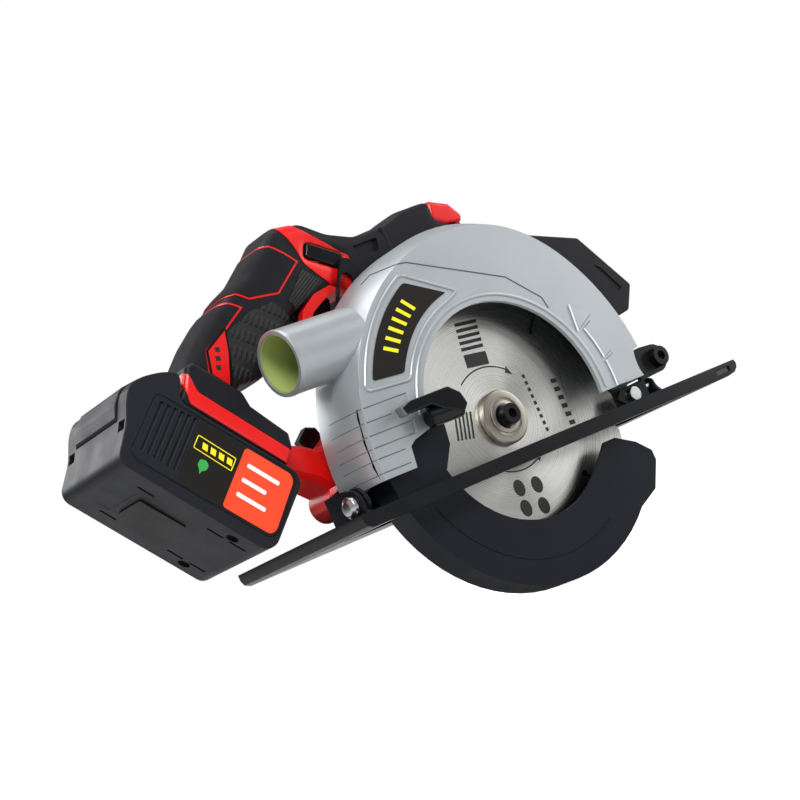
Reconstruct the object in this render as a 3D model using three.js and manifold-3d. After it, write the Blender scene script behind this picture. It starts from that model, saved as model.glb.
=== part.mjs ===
// Cordless circular saw with a 180 mm blade and a slide-on battery pack.
// Millimetres. +X is the cutting direction, +Y points from the blade to the motor, +Z is up.
// The origin lies on the sole, below the blade spindle in X and on the handle's plane in Y.
import * as THREE from "three";
import { mergeVertices } from "three/addons/utils/BufferGeometryUtils.js";
import Module from "manifold-3d";

const wasm = await Module();
wasm.setup();

// ---------------------------------------------------------------- driving dimensions
const GAP = 0.3; // clearance between touching pieces

const BASE = { x0: -132.7, x1: 168, y0: -64.3, y1: 64.9, height: 8.2, sheet: 2 };
const REAR_BOLT = { x: -124.7, head: 3.4 };
const BASE_BOLT_HEAD = 4.4;
const BLADE_SLOT = { x0: -110, x1: 108, y0: -56, y1: -10 };

const SPINDLE = { x: 0, z: 28.5 }; // spindle axis, along Y
const BLADE = { y: -40, radius: 90, thickness: 2, bore: 10, teeth: 40, toothHeight: 5 };
const MOTOR = { x: 6, z: 60, radius: 37, y0: -0.7, y1: 50 }; // motor axis, along Y

const TILT = { y: -44, z: 14, clampRadius: 45, clampAngle: 2 }; // bevel axis, along X
const DEPTH = { x: 119.8, z: 27.2, quadrantRadius: 195, quadrantHalfWidth: 10 }; // depth axis, along Y
const TILT_PLATE = [111.6, 114.1]; // the base's upright in front of the blade
const QUADRANT_Y = { y0: -20.5, y1: -18 };
const CLAMP_ANGLE = 176; // depth clamp bolt on the quadrant, seen from the depth axis

const GUARD = { face: -57.9, chamfer: -44, back: -24, wall: 2.6, opening: 63.7, bottom: 20 };
const CHAMFER_WIDTH = 6;
const LOWER_GUARD = { y0: -51.6, y1: -33, sheet: 2, radius: 98, inner: 61.25, hub: 21.3 };
const PORT = { y: -40, z: 98, radius: 18, bore: 16, mouth: -124 };

const GEAR = { teeth: 28, pinionTeeth: 14, y0: -15, y1: -7 };
const GEARBOX_RADIUS = 25.8;
const GEAR_DISTANCE = Math.hypot(MOTOR.x - SPINDLE.x, MOTOR.z - SPINDLE.z);
const GEAR_MODULE = (2 * GEAR_DISTANCE) / (GEAR.teeth + GEAR.pinionTeeth);

const HANDLE_HALF_WIDTH = 17;
const BATTERY_HALF_WIDTH = 35;
// The battery's own frame: a runs up and back along its rails, b runs down and away from the handle.
const BATTERY = { x: -139, z: 45, aX: -0.66, aZ: 0.75 };

// ---------------------------------------------------------------- colours
const finish = (color, roughness, metalness) => ({ color, roughness, metalness });
const FINISH = {
  silver: finish(0xb4bac0, 0.42, 0.6),
  black: finish(0x232428, 0.5, 0.1),
  steelBlack: finish(0x26272b, 0.35, 0.6),
  steel: finish(0xb8bbbf, 0.3, 0.95),
  guardBlue: finish(0x1e212a, 0.5, 0.2),
  red: finish(0xe02a20, 0.4, 0.05),
  rubber: finish(0x242529, 0.75, 0.0),
  copper: finish(0xb06a3a, 0.4, 0.8),
  board: finish(0x1f5a37, 0.6, 0.1),
  cell: finish(0x3a6ea5, 0.5, 0.2),
};

// ---------------------------------------------------------------- geometry helpers
const rad = (degrees) => (degrees * Math.PI) / 180;

function solid(geometry) {
  const bare = geometry.clone();
  bare.deleteAttribute("normal");
  bare.deleteAttribute("uv");
  const merged = mergeVertices(bare, 1e-4);
  const corners = Uint32Array.from(merged.index.array);
  const build = (triVerts) => new wasm.Manifold(new wasm.Mesh({
    numProp: 3,
    vertProperties: Float32Array.from(merged.attributes.position.array),
    triVerts,
  }));
  const body = build(corners);
  // A turned profile drawn the other way round faces inwards; reversing the corners turns it out.
  return body.volume() < 0 ? build(corners.reverse()) : body;
}

function toGeometry(manifold) {
  const mesh = manifold.getMesh();
  const geometry = new THREE.BufferGeometry();
  geometry.setAttribute("position", new THREE.BufferAttribute(Float32Array.from(mesh.vertProperties), 3));
  geometry.setIndex(Array.from(mesh.triVerts));
  geometry.computeVertexNormals();
  return geometry;
}

// An outline in the XZ plane, extruded along Y from y0 to y1, with an optional rounded or chamfered edge.
function slab(points, y0, y1, edge = {}) {
  const { size = 0, thickness = size, segments = 2, grow = 0 } = edge;
  const shape = new THREE.Shape(points.map(([x, z]) => new THREE.Vector2(x, z)));
  const geometry = new THREE.ExtrudeGeometry(shape, {
    depth: y1 - y0 - 2 * thickness,
    bevelEnabled: size > 0 || grow !== 0,
    bevelThickness: thickness,
    bevelSize: size,
    bevelOffset: grow - size,
    bevelSegments: segments,
    steps: 1,
  });
  geometry.rotateX(Math.PI / 2);
  geometry.translate(0, y1 - thickness, 0);
  return solid(geometry);
}

// An outline in the YZ plane, extruded along X from x0 to x1.
function plateX(points, x0, x1) {
  const shape = new THREE.Shape(points.map(([y, z]) => new THREE.Vector2(y, z)));
  const geometry = new THREE.ExtrudeGeometry(shape, { depth: x1 - x0, bevelEnabled: false });
  geometry.rotateX(Math.PI / 2);
  geometry.rotateZ(Math.PI / 2);
  geometry.translate(x0, 0, 0);
  return solid(geometry);
}

function box(x0, x1, y0, y1, z0, z1) {
  const geometry = new THREE.BoxGeometry(x1 - x0, y1 - y0, z1 - z0);
  geometry.translate((x0 + x1) / 2, (y0 + y1) / 2, (z0 + z1) / 2);
  return solid(geometry);
}

function rodY(x, z, radius, y0, y1, sides = 16) {
  const geometry = new THREE.CylinderGeometry(radius, radius, y1 - y0, sides);
  geometry.translate(x, (y0 + y1) / 2, z);
  return solid(geometry);
}

function rodX(y, z, radius, x0, x1, sides = 16) {
  const geometry = new THREE.CylinderGeometry(radius, radius, x1 - x0, sides);
  geometry.rotateZ(Math.PI / 2);
  geometry.translate((x0 + x1) / 2, y, z);
  return solid(geometry);
}

// A turned piece: [radius, y] points, closed on themselves or on the axis.
function turned(profile, x, z, sides = 24) {
  const points = profile.map(([radius, y]) => new THREE.Vector2(radius, y));
  const geometry = new THREE.LatheGeometry(points, sides);
  geometry.translate(x, 0, z);
  return solid(geometry);
}

function ring(x, z, inner, outer, y0, y1, sides = 20) {
  const profile = [[inner, y0], [outer, y0], [outer, y1], [inner, y1], [inner, y0]];
  return turned(profile, x, z, sides);
}

function arc(cx, cz, radius, from, to, steps) {
  return Array.from({ length: steps + 1 }, (_, i) => {
    const angle = rad(from + ((to - from) * i) / steps);
    return [cx + radius * Math.cos(angle), cz + radius * Math.sin(angle)];
  });
}

// A band of constant width along an arc, with round ends.
function arcSlot(cx, cz, radius, halfWidth, from, to, steps) {
  const end = (angle, turn) => arc(
    cx + radius * Math.cos(rad(angle)), cz + radius * Math.sin(rad(angle)), halfWidth, turn, turn + 180, 6);
  return [
    ...arc(cx, cz, radius + halfWidth, from, to, steps),
    ...end(to, to).slice(1, -1),
    ...arc(cx, cz, radius - halfWidth, to, from, steps),
    ...end(from, from + 180).slice(1, -1),
  ];
}

const fromSpindle = (points) => points.map(([x, z]) => [SPINDLE.x + x, SPINDLE.z + z]);

const fromBattery = (points) => points.map(([a, b]) => [
  BATTERY.x + a * BATTERY.aX - b * BATTERY.aZ,
  BATTERY.z + a * BATTERY.aZ + b * BATTERY.aX,
]);

const minus = (body, ...tools) => tools.reduce((rest, tool) => rest.subtract(tool), body);
const plus = (body, ...more) => more.reduce((rest, piece) => rest.add(piece), body);

// ---------------------------------------------------------------- the assembly
const saw = new THREE.Group();

function addPart(name, manifold, look) {
  const material = new THREE.MeshStandardMaterial(look);
  const mesh = new THREE.Mesh(toGeometry(manifold), material);
  mesh.name = name;
  saw.add(mesh);
}

// ---------------------------------------------------------------- base: a pressed steel shoe
function basePlate() {
  const { x0, x1, y0, y1, height, sheet } = BASE;
  const side = (inset) => [
    [x0 + inset, height + inset], [x0 + inset, 4.5], [x0 + 1.4 + inset, 1.6 + inset * 0.5], [x0 + 5, inset],
    [x1 - 11, inset], [x1 - 4, 1 + inset * 0.6], [x1 - 0.8 - inset, 3.4], [x1 - inset, 6],
    [x1 - 1 - inset, height + inset],
  ];
  const tray = slab(side(0), y0, y1);
  const hollow = slab(side(sheet), y0 + sheet, y1 - sheet);
  const slot = box(BLADE_SLOT.x0, BLADE_SLOT.x1, BLADE_SLOT.y0, BLADE_SLOT.y1, -1, sheet + 1);
  const fenceSlots = [y0 - 1, y1 - sheet - 1].map((y) => box(149, 161, y, y + sheet + 2, 2.6, 5.8));
  const bolts = [[120, -34], [120, -8], [REAR_BOLT.x, -52], [REAR_BOLT.x, -36]];
  const holes = bolts.map(([x, y]) => {
    const hole = new THREE.CylinderGeometry(2.5, 2.5, 8, 12);
    hole.rotateX(Math.PI / 2);
    hole.translate(x, y, 1);
    return solid(hole);
  });
  return minus(tray, hollow, slot, ...fenceSlots, ...holes);
}

function baseBolt(x, y, head = BASE_BOLT_HEAD) {
  const under = 4.4 + GAP;
  const profile = [[0, 0.7], [2.2, 0.7], [2.2, under], [head, under], [head - 0.2, 6.2], [head * 0.6, 7.2], [0, 7.4]];
  const geometry = new THREE.LatheGeometry(profile.map(([r, h]) => new THREE.Vector2(r, h)), 12);
  geometry.rotateX(Math.PI / 2);
  geometry.translate(x, y, 0);
  return solid(geometry);
}

// The upright that the saw head tilts against: a foot, a hinge eye and an arc slot round the tilt axis.
function tiltQuadrant() {
  const { y, z, clampRadius, clampAngle } = TILT;
  const low = BASE.sheet + GAP;
  const outline = [
    [-56, low], [y + clampRadius + 6, low],
    ...arc(y, z, clampRadius + 6, -4, 56, 8),
    ...arc(y, z, clampRadius - 6, 56, 4, 8),
    [y + 8, z + 2.4], [y, z + 4.2], [-47.6, z + 1.4], [-50, z - 3], [-54, 6],
  ];
  const [back, front] = TILT_PLATE;
  const upright = plateX(outline, back, front);
  const slot = plateX(arcSlot(y, z, clampRadius, 3.2, clampAngle - 1.5, clampAngle + 46.5, 10), back - 2, front + 2);
  const eye = rodX(y, z, 3.3, back - 2, front + 2);
  const foot = box(front - 0.5, front + 12, -42, 0, low, low + 2);
  const holes = [-34, -8].map((boltY) => {
    const hole = new THREE.CylinderGeometry(2.5, 2.5, 8, 12);
    hole.rotateX(Math.PI / 2);
    hole.translate(120, boltY, 3);
    return solid(hole);
  });
  return minus(plus(upright, foot), slot, eye, ...holes);
}

function rearHingePlate() {
  const low = BASE.sheet + GAP;
  const outline = [[-58, low], [-30, low], [-33, 8], ...arc(TILT.y, TILT.z, 9, -20, 200, 10), [-56, 8]];
  const upright = plateX(outline, -121, -118.5);
  const foot = box(REAR_BOLT.x - REAR_BOLT.head, -120, -58, -30, low, low + 2);
  const eye = rodX(TILT.y, TILT.z, 3.3, -124, -116);
  const holes = [-52, -36].map((boltY) => {
    const hole = new THREE.CylinderGeometry(2.5, 2.5, 8, 12);
    hole.rotateX(Math.PI / 2);
    hole.translate(REAR_BOLT.x, boltY, 3);
    return solid(hole);
  });
  return minus(plus(upright, foot), eye, ...holes);
}

addPart("base_plate", basePlate(), FINISH.steelBlack);
addPart("tilt_quadrant", tiltQuadrant(), FINISH.steelBlack);
addPart("rear_hinge_plate", rearHingePlate(), FINISH.steelBlack);
addPart("base_bolt_front_near", baseBolt(120, -34), FINISH.steel);
addPart("base_bolt_front_far", baseBolt(120, -8), FINISH.steel);
addPart("base_bolt_rear_near", baseBolt(REAR_BOLT.x, -52, REAR_BOLT.head), FINISH.steel);
addPart("base_bolt_rear_far", baseBolt(REAR_BOLT.x, -36, REAR_BOLT.head), FINISH.steel);

// ---------------------------------------------------------------- tilt carriage
const tiltClampAngle = rad(TILT.clampAngle);
const TILT_CLAMP = {
  y: TILT.y + TILT.clampRadius * Math.cos(tiltClampAngle),
  z: TILT.z + TILT.clampRadius * Math.sin(tiltClampAngle),
};

// The front bracket: a web across the saw, open at its top for the guard's lug, with two ears for the depth bolt.
function tiltBracket() {
  const web = plateX([
    [-52, 18], [-50, 9], [-44, 5], [-30, 8], [TILT_CLAMP.y + 6, TILT_CLAMP.z - 8], [TILT_CLAMP.y + 7, TILT_CLAMP.z],
    [TILT_CLAMP.y, TILT_CLAMP.z + 7], [-14, 30], [-14, 36], [-52, 36],
  ], 101.5, 104);
  const window = box(100, 106, -49.2, -16.8, 18.6, 40);
  const earOutline = [
    [101.5, 17.5], [112, 18.3], ...arc(DEPTH.x, DEPTH.z, 8.6, -80, 90, 9), [110, 36.4], [101.5, 36],
  ];
  const ears = [-52, -16.5].map((y) => slab(earOutline, y, y + 2.5));
  const leg = slab([[77.5, 12.8], [82, 17.2], [103, 17.8], [103, 9], [84, 7.5]], -52, -49.5);
  const pivotHole = rodY(DEPTH.x, DEPTH.z, 3.9, -60, -10);
  const eye = rodX(TILT.y, TILT.z, 3.3, 98, 107);
  const clampHole = rodX(TILT_CLAMP.y, TILT_CLAMP.z, 2.9, 98, 107);
  const rivetHole = rodY(90.4, 12.2, 2.3, -55, -45);
  return minus(plus(minus(web, window), ...ears, leg), pivotHole, eye, clampHole, rivetHole);
}

// The depth quadrant: a slotted arc round the depth axis, with a bent flange on the rear tilt pin.
function depthQuadrant() {
  const { x, z, quadrantRadius, quadrantHalfWidth } = DEPTH;
  const { y0, y1 } = QUADRANT_Y;
  const band = arcSlot(x, z, quadrantRadius, quadrantHalfWidth, 146, 181, 14);
  const leg = [[-117.5, 9], [-70, 9], [-66, 18], [-66, 30], [-84, 34], [-112, 25], [-117.5, 24]];
  const flange = plateX([[y1, 8.5], [y1, 24], [-36, 24], ...arc(TILT.y, TILT.z, 9.4, 60, 300, 12)], -117.5, -115);
  const slot = slab(arcSlot(x, z, quadrantRadius, 4.3, 147, CLAMP_ANGLE + 1, 14), y0 - 2, y1 + 2);
  const eye = rodX(TILT.y, TILT.z, 3.3, -120, -113);
  return minus(plus(slab(band, y0, y1), slab(leg, y0, y1), flange), slot, eye);
}

function domedPinX(y, z, radius, x0, x1, headRadius, headLength, toFront) {
  const length = x1 - x0;
  const profile = [
    [0, 0], [radius, 0], [radius, length], [headRadius, length],
    [headRadius * 0.93, length + headLength * 0.45], [headRadius * 0.6, length + headLength * 0.85],
    [0, length + headLength],
  ];
  const geometry = new THREE.LatheGeometry(profile.map(([r, h]) => new THREE.Vector2(r, h)), 16);
  geometry.rotateZ(toFront ? -Math.PI / 2 : Math.PI / 2);
  geometry.translate(toFront ? x0 : x1, y, z);
  return solid(geometry);
}

addPart("tilt_bracket", tiltBracket(), FINISH.steelBlack);
addPart("depth_quadrant", depthQuadrant(), FINISH.steelBlack);
addPart("tilt_pin_front", domedPinX(TILT.y, TILT.z, 3, 100.4, 114.4, 4.4, 1.6, true), FINISH.steel);
addPart("tilt_pin_rear", domedPinX(TILT.y, TILT.z, 3, -121.3, -113.8, 6.6, 4.2, false), FINISH.steel);
addPart("tilt_clamp_bolt", plus(
  rodX(TILT_CLAMP.y, TILT_CLAMP.z, 2.6, 99, 121), rodX(TILT_CLAMP.y, TILT_CLAMP.z, 5, 98, 101.2, 6)), FINISH.steel);
addPart("bracket_rivet", plus(
  rodY(90.4, 12.2, 2, -52, -48.4), rodY(90.4, 12.2, 4.2, -54.6, -52.3),
  rodY(90.4, 12.2, 2, -53, -51)), FINISH.steel);
addPart("depth_pivot_bolt", plus(
  rodY(DEPTH.x, DEPTH.z, 3.6, -53, -13.2), rodY(DEPTH.x, DEPTH.z, 6, -57.4, -52.3, 20)).subtract(
  rodY(DEPTH.x, DEPTH.z, 2.9, -58, -54.2, 6)), FINISH.steelBlack);
addPart("depth_pivot_nut", rodY(DEPTH.x, DEPTH.z, 6.4, -13.7, -11, 6).subtract(
  rodY(DEPTH.x, DEPTH.z, 3.9, -20, -10)), FINISH.steel);

// The tilt lever: a hub on the clamp bolt with a flat arm.
function tiltLever() {
  const { y, z } = TILT_CLAMP;
  const start = TILT_PLATE[1] + GAP;
  const hub = rodX(y, z, 7, start, start + 8, 20);
  const arm = plateX([[y - 4, z + 3], [y + 4, z - 4], [y + 30, z + 14], [y + 30, z + 20], [y + 24, z + 21]],
    start + 2.5, start + 8);
  return plus(hub, arm).subtract(rodX(y, z, 2.9, 105, 130));
}
addPart("tilt_lever", tiltLever(), FINISH.black);

// ---------------------------------------------------------------- upper guard
// Outer radius of the guard's rim at an angle from the spindle: round, with a slight swelling at the top front.
const rimRadius = (degrees) => 110.4 + 5.6 * Math.exp(-(((degrees - 66) / 30) ** 2));
const rimPoint = (degrees, extra = 0) => [
  SPINDLE.x + (rimRadius(degrees) + extra) * Math.cos(rad(degrees)),
  SPINDLE.z + (rimRadius(degrees) + extra) * Math.sin(rad(degrees)),
];

// The guard's outline: its rim, closed by a straight lower edge.
function guardOutline(bottom, extra) {
  const rim = Array.from({ length: 45 }, (_, i) => rimPoint(4.6 + 4 * i, extra));
  return [[rim[0][0], bottom], ...rim, [rim.at(-1)[0], bottom]];
}

// Room for the tilt bracket at the guard's lower front corner, also while the guard swings up past it.
function bracketRoom(inset) {
  const top = 37 + inset;
  const corner = box(100.8 - inset, 140, -80, 0, -40, top);
  const sweep = rodY(DEPTH.x, DEPTH.z, 21.8 + inset, -80, -48.6, 40);
  return corner.add(sweep.intersect(box(80, 140, -90, 0, -40, top)));
}

function upperGuard() {
  const { face, chamfer, back, wall, opening, bottom } = GUARD;
  const depth = chamfer - face;
  // The outline's chamfered edge faces -Y; the matching edge behind the back plane is cut away.
  const edge = { size: CHAMFER_WIDTH, thickness: depth, segments: 1 };
  const shell = slab(guardOutline(-20, 0), face, back + depth, edge);
  const outer = shell.intersect(box(-140, 140, face - 1, back, bottom, 160)).subtract(bracketRoom(0));
  const inside = slab(guardOutline(-20, -wall), face + wall, back + depth, edge);
  const hollow = inside.intersect(box(-140, 140, face, back - wall, -10, 160)).subtract(bracketRoom(wall));
  const underside = box(-107, 95.5, face + wall, back - wall, 0, 60).intersect(
    rodY(SPINDLE.x, SPINDLE.z, 106, face, back, 48));
  const window = rodY(SPINDLE.x, SPINDLE.z, opening, face - 2, face + 8, 48);
  const notch = slab(fromSpindle([[-60, 12], [-63, 8.5], [-76, 5.5], [-80, 3], [-82, -9], [-82, -14], [-40, -14]]),
    face - 2, face + 8);
  const hub = rodY(SPINDLE.x, SPINDLE.z, 24, back - 6, back + 2, 32);
  const port = turnedX(PORT.radius, PORT.mouth, -74);
  const duct = turnedX(PORT.bore, PORT.mouth - 2, -88);
  const lugOutline = [[97, 21.5], [110, 20.4], ...arc(DEPTH.x, DEPTH.z, 7, -100, 90, 8), [108, 35.4], [97, 35.4]];
  const lug = slab(lugOutline, -46.5, -19.5).intersect(box(90, 130, -46.5, -19.5, 0, 60));
  const pin = rodY(DEPTH.x, DEPTH.z, 3.9, -50, -10);
  const portRoot = port.subtract(hollow);
  const lever = rodY(SPINDLE.x, SPINDLE.z, 30, back - 6, back + 2, 32).intersect(box(-40, 40, back - 6, back + 2, 0, 20));
  return minus(plus(outer, portRoot, lug.subtract(hollow)), hollow, underside, window, notch, hub, duct, pin, lever);
}

// A rod along X at the dust port.
function turnedX(radius, x0, x1) {
  return rodX(PORT.y, PORT.z, radius, x0, x1, 32);
}

addPart("upper_guard", upperGuard(), FINISH.silver);

// The label plate lies on the guard's face behind the window.
const labelOutline = [...arc(0, 0, 92, 152, 113, 6), ...arc(0, 0, 74.5, 100, 144, 6)];
addPart("guard_label", slab(fromSpindle(labelOutline), GUARD.face - 1.1, GUARD.face - GAP, { size: 0 }), FINISH.black);

// The bumper: a wedge-shaped block on the front of the rim.
function bumper() {
  const rim = [48, 41, 34, 27, 20, 14.5].map((angle) => rimPoint(angle, 0.6));
  const outside = fromSpindle([[123, 31.5], [134, 33], [145, 47], [120, 84]]);
  return slab([...rim, ...outside], -47, -24.5, { size: 1.2, segments: 1 }).subtract(
    slab(guardOutline(10, 0.35), GUARD.face - 5, -10));
}
addPart("guard_bumper", bumper(), FINISH.rubber);

// ---------------------------------------------------------------- gearbox, spindle and motor
const hullOutline = (grow) => [
  ...arc(SPINDLE.x, SPINDLE.z, GEARBOX_RADIUS + grow, 200, 340, 14),
  ...arc(MOTOR.x, MOTOR.z, 38 + grow, 0, 180, 14),
];

function gearboxHousing() {
  const outer = slab(hullOutline(0), -23.7, -1, { size: 1.5, segments: 1 });
  const cavity = slab(hullOutline(-2.5), -19, 2);
  const nose = rodY(SPINDLE.x, SPINDLE.z, 21, -34.4, -20, 32);
  const noseBore = rodY(SPINDLE.x, SPINDLE.z, 17.8, -36, -17, 32);
  const stop = ring(SPINDLE.x, SPINDLE.z, 12, 19, -26, -23.4, 32);
  const bearingSeat = ring(MOTOR.x, MOTOR.z, 10.4, 13, -20, -16, 24);
  const lockHole = rodX(-11, SPINDLE.z, 3.4, 18, 50, 16);
  return minus(plus(outer.subtract(cavity), nose), noseBore, lockHole).add(stop).add(bearingSeat);
}

function gearOutline(teeth, module, phase) {
  const pitch = (module * teeth) / 2;
  const points = [];
  for (let tooth = 0; tooth < teeth; tooth += 1) {
    const middle = phase + (360 * tooth) / teeth;
    const step = 360 / teeth;
    const flank = [[-0.33, pitch - 1.22 * module], [-0.19, pitch], [-0.09, pitch + 0.94 * module],
      [0.09, pitch + 0.94 * module], [0.19, pitch], [0.33, pitch - 1.22 * module]];
    for (const [share, radius] of flank) {
      const angle = rad(middle + share * step);
      points.push([radius * Math.cos(angle), radius * Math.sin(angle)]);
    }
  }
  return points;
}

// A tooth of the pinion points at the spindle, into a gap of the drive gear.
const meshAngle = (Math.atan2(MOTOR.z - SPINDLE.z, MOTOR.x - SPINDLE.x) * 180) / Math.PI;
const gearPhase = meshAngle + 180 / GEAR.teeth;
const pinionPhase = meshAngle + 180;

function driveGear() {
  const wheel = slab(fromSpindle(gearOutline(GEAR.teeth, GEAR_MODULE, gearPhase)), GEAR.y0, GEAR.y1);
  return wheel.subtract(rodY(SPINDLE.x, SPINDLE.z, 8.4, -20, 0, 24));
}

function spindle() {
  const body = rodY(SPINDLE.x, SPINDLE.z, 8, -40.6, -1.4, 24);
  return body.subtract(rodY(SPINDLE.x, SPINDLE.z, 4.3, -45, -24, 16));
}

function innerFlange() {
  const profile = [[8.4, -40.7], [9.6, -40.7], [9.6, -38.6], [20, -38.6], [20, -36], [12, -34.9], [11.4, -27],
    [8.4, -27], [8.4, -40.7]];
  return turned(profile, SPINDLE.x, SPINDLE.z);
}

function outerFlange() {
  const profile = [[4.3, -45.3], [9.2, -45.3], [9.2, -44.7], [10.4, -44.7], [10.4, -45.3], [15.2, -45.3],
    [15.75, -44.8], [15.75, -41.3], [4.3, -41.3], [4.3, -45.3]];
  return turned(profile, SPINDLE.x, SPINDLE.z);
}

function bladeBolt() {
  const head = rodY(SPINDLE.x, SPINDLE.z, 6, -51.4, -45.6, 20);
  const shank = rodY(SPINDLE.x, SPINDLE.z, 3.9, -46, -26, 16);
  return plus(head, shank).subtract(rodY(SPINDLE.x, SPINDLE.z, 3, -53, -48, 6));
}

function sawBlade() {
  const points = [];
  const root = BLADE.radius - BLADE.toothHeight;
  for (let tooth = 0; tooth < BLADE.teeth; tooth += 1) {
    const start = (360 * tooth) / BLADE.teeth;
    const profile = [[0, BLADE.radius], [2.2, BLADE.radius - 0.8], [5.6, root], [7.6, root + 0.6]];
    for (const [turn, radius] of profile) {
      const angle = rad(start + turn);
      points.push([radius * Math.cos(angle), radius * Math.sin(angle)]);
    }
  }
  const disc = slab(fromSpindle(points), BLADE.y - BLADE.thickness / 2, BLADE.y + BLADE.thickness / 2);
  return disc.subtract(rodY(SPINDLE.x, SPINDLE.z, BLADE.bore, -50, -30, 32));
}

addPart("gearbox_housing", gearboxHousing(), FINISH.silver);
addPart("spindle_bearing_front", ring(SPINDLE.x, SPINDLE.z, 8.4, 17.4, -23, -16), FINISH.steel);
addPart("spindle_bearing_rear", ring(SPINDLE.x, SPINDLE.z, 8.4, 14, -6.4, -1.2), FINISH.steel);
addPart("bearing_plate", slab(hullOutline(-2.9), -5, -1.2).subtract(
  rodY(SPINDLE.x, SPINDLE.z, 14.4, -9, 3, 24)).subtract(rodY(MOTOR.x, MOTOR.z, 8, -9, 3, 20)), FINISH.silver);
addPart("spindle", spindle(), FINISH.steel);
addPart("drive_gear", driveGear(), FINISH.steel);
addPart("inner_flange", innerFlange(), FINISH.steel);
addPart("saw_blade", sawBlade(), FINISH.steel);
addPart("outer_flange", outerFlange(), FINISH.steel);
addPart("blade_bolt", bladeBolt(), FINISH.steelBlack);
addPart("guard_return_spring", ring(SPINDLE.x, SPINDLE.z, 21.6, 23.4, -30.6, -24.4, 24), FINISH.steel);

// The motor housing is a tube with an arm that runs back to the battery foot.
function motorHousing() {
  const { x, z, radius, y0, y1 } = MOTOR;
  const tube = rodY(x, z, radius, y0, y1, 40);
  const armOutline = [
    [-130.6, 61], [-122, 60], [-112.5, 57], [-105, 52.6], [-92.6, 53], [-75, 62], [-50, 78], [-10, 90], [0, 60],
    [-10, 32], [-40, 30], [-82, 30], ...arc(-98, 23, 10, 20, -220, 14).map(([px, pz]) => [px, pz]),
    [-113, 36], [-130.6, 46],
  ];
  const arm = slab(armOutline, -14, 14, { size: 3, segments: 1 });
  const bore = rodY(x, z, radius - 2.8, y0 - 30, y1 + 2, 40);
  const clampHole = rodY(...depthClampPoint(), 4.4, -30, 30);
  const gearboxRoom = slab(hullOutline(0.5), -30, y0);
  return minus(plus(tube, arm), bore, clampHole, gearboxRoom);
}

function depthClampPoint() {
  const angle = rad(CLAMP_ANGLE);
  return [DEPTH.x + DEPTH.quadrantRadius * Math.cos(angle), DEPTH.z + DEPTH.quadrantRadius * Math.sin(angle)];
}

function motorEndCap() {
  const { x, z, radius, y1 } = MOTOR;
  const start = y1 + GAP;
  const end = start + 25;
  const cup = turned([[0, end], [radius - 8, end], [radius - 2.5, end - 3], [radius, end - 9], [radius, start],
    [radius - 2.5, start], [radius - 2.5, end - 10], [radius - 6, end - 4], [12.4, end - 2.6], [12.4, end - 7],
    [9.6, end - 7], [9.6, end - 2.6], [0, end - 2.6]], x, z, 28);
  const vents = [];
  for (let i = 0; i < 10; i += 1) {
    const angle = rad(36 * i);
    const vent = new THREE.BoxGeometry(10, 12, 3);
    vent.translate(22, end, 0);
    vent.rotateY(angle);
    vent.translate(x, 0, z);
    vents.push(solid(vent));
  }
  return minus(cup, ...vents);
}

addPart("motor_housing", motorHousing(), FINISH.red);
addPart("motor_end_cap", motorEndCap(), FINISH.black);
addPart("stator", ring(MOTOR.x, MOTOR.z, 25, 33.6, 7, 46, 28), FINISH.steel);
addPart("motor_bearing_front", ring(MOTOR.x, MOTOR.z, 4.4, 10.1, -20.4 + 1.6, -16.2 + 0.2, 20), FINISH.steel);
addPart("motor_bearing_rear", ring(MOTOR.x, MOTOR.z, 4.4, 9.3, 67, 72, 20), FINISH.steel);
addPart("brush_upper", box(MOTOR.x - 3.5, MOTOR.x + 3.5, 53, 60, MOTOR.z + 11.8, MOTOR.z + 27), FINISH.copper);
addPart("brush_lower", box(MOTOR.x - 3.5, MOTOR.x + 3.5, 53, 60, MOTOR.z - 27, MOTOR.z - 11.8), FINISH.copper);

// Rotor: shaft with its pinion cut into it, laminated core, commutator and fan.
function rotorShaft() {
  const shaft = rodY(MOTOR.x, MOTOR.z, 4, -18.6, 71, 20);
  const outline = gearOutline(GEAR.pinionTeeth, GEAR_MODULE, pinionPhase).map(([x, z]) => [MOTOR.x + x, MOTOR.z + z]);
  return plus(shaft, slab(outline, GEAR.y0 - 0.6, GEAR.y1 + 1.4));
}

function coolingFan() {
  const disc = ring(MOTOR.x, MOTOR.z, 4.4, 30, 0.6, 2.2);
  const blades = [];
  for (let i = 0; i < 6; i += 1) {
    const blade = new THREE.BoxGeometry(17, 4, 1.6);
    blade.translate(20, 3.6, 0);
    blade.rotateY(rad(60 * i));
    blade.translate(MOTOR.x, 0, MOTOR.z);
    blades.push(solid(blade));
  }
  const hub = ring(MOTOR.x, MOTOR.z, 4.4, 9, 0.6, 5, 16);
  return plus(disc, hub, ...blades);
}

addPart("rotor_shaft", rotorShaft(), FINISH.steel);
addPart("rotor_core", ring(MOTOR.x, MOTOR.z, 4.4, 24.2, 8, 45, 24), FINISH.copper);
addPart("commutator", ring(MOTOR.x, MOTOR.z, 4.4, 11, 50, 64, 24), FINISH.copper);
addPart("cooling_fan", coolingFan(), FINISH.black);

// Spindle lock: a plunger on the front of the gearbox.
addPart("spindle_lock_button", plus(
  rodX(-11, SPINDLE.z, 3, 26.6, 40), rodX(-11, SPINDLE.z, 5.6, 37.5, 42, 20)), FINISH.black);

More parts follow.
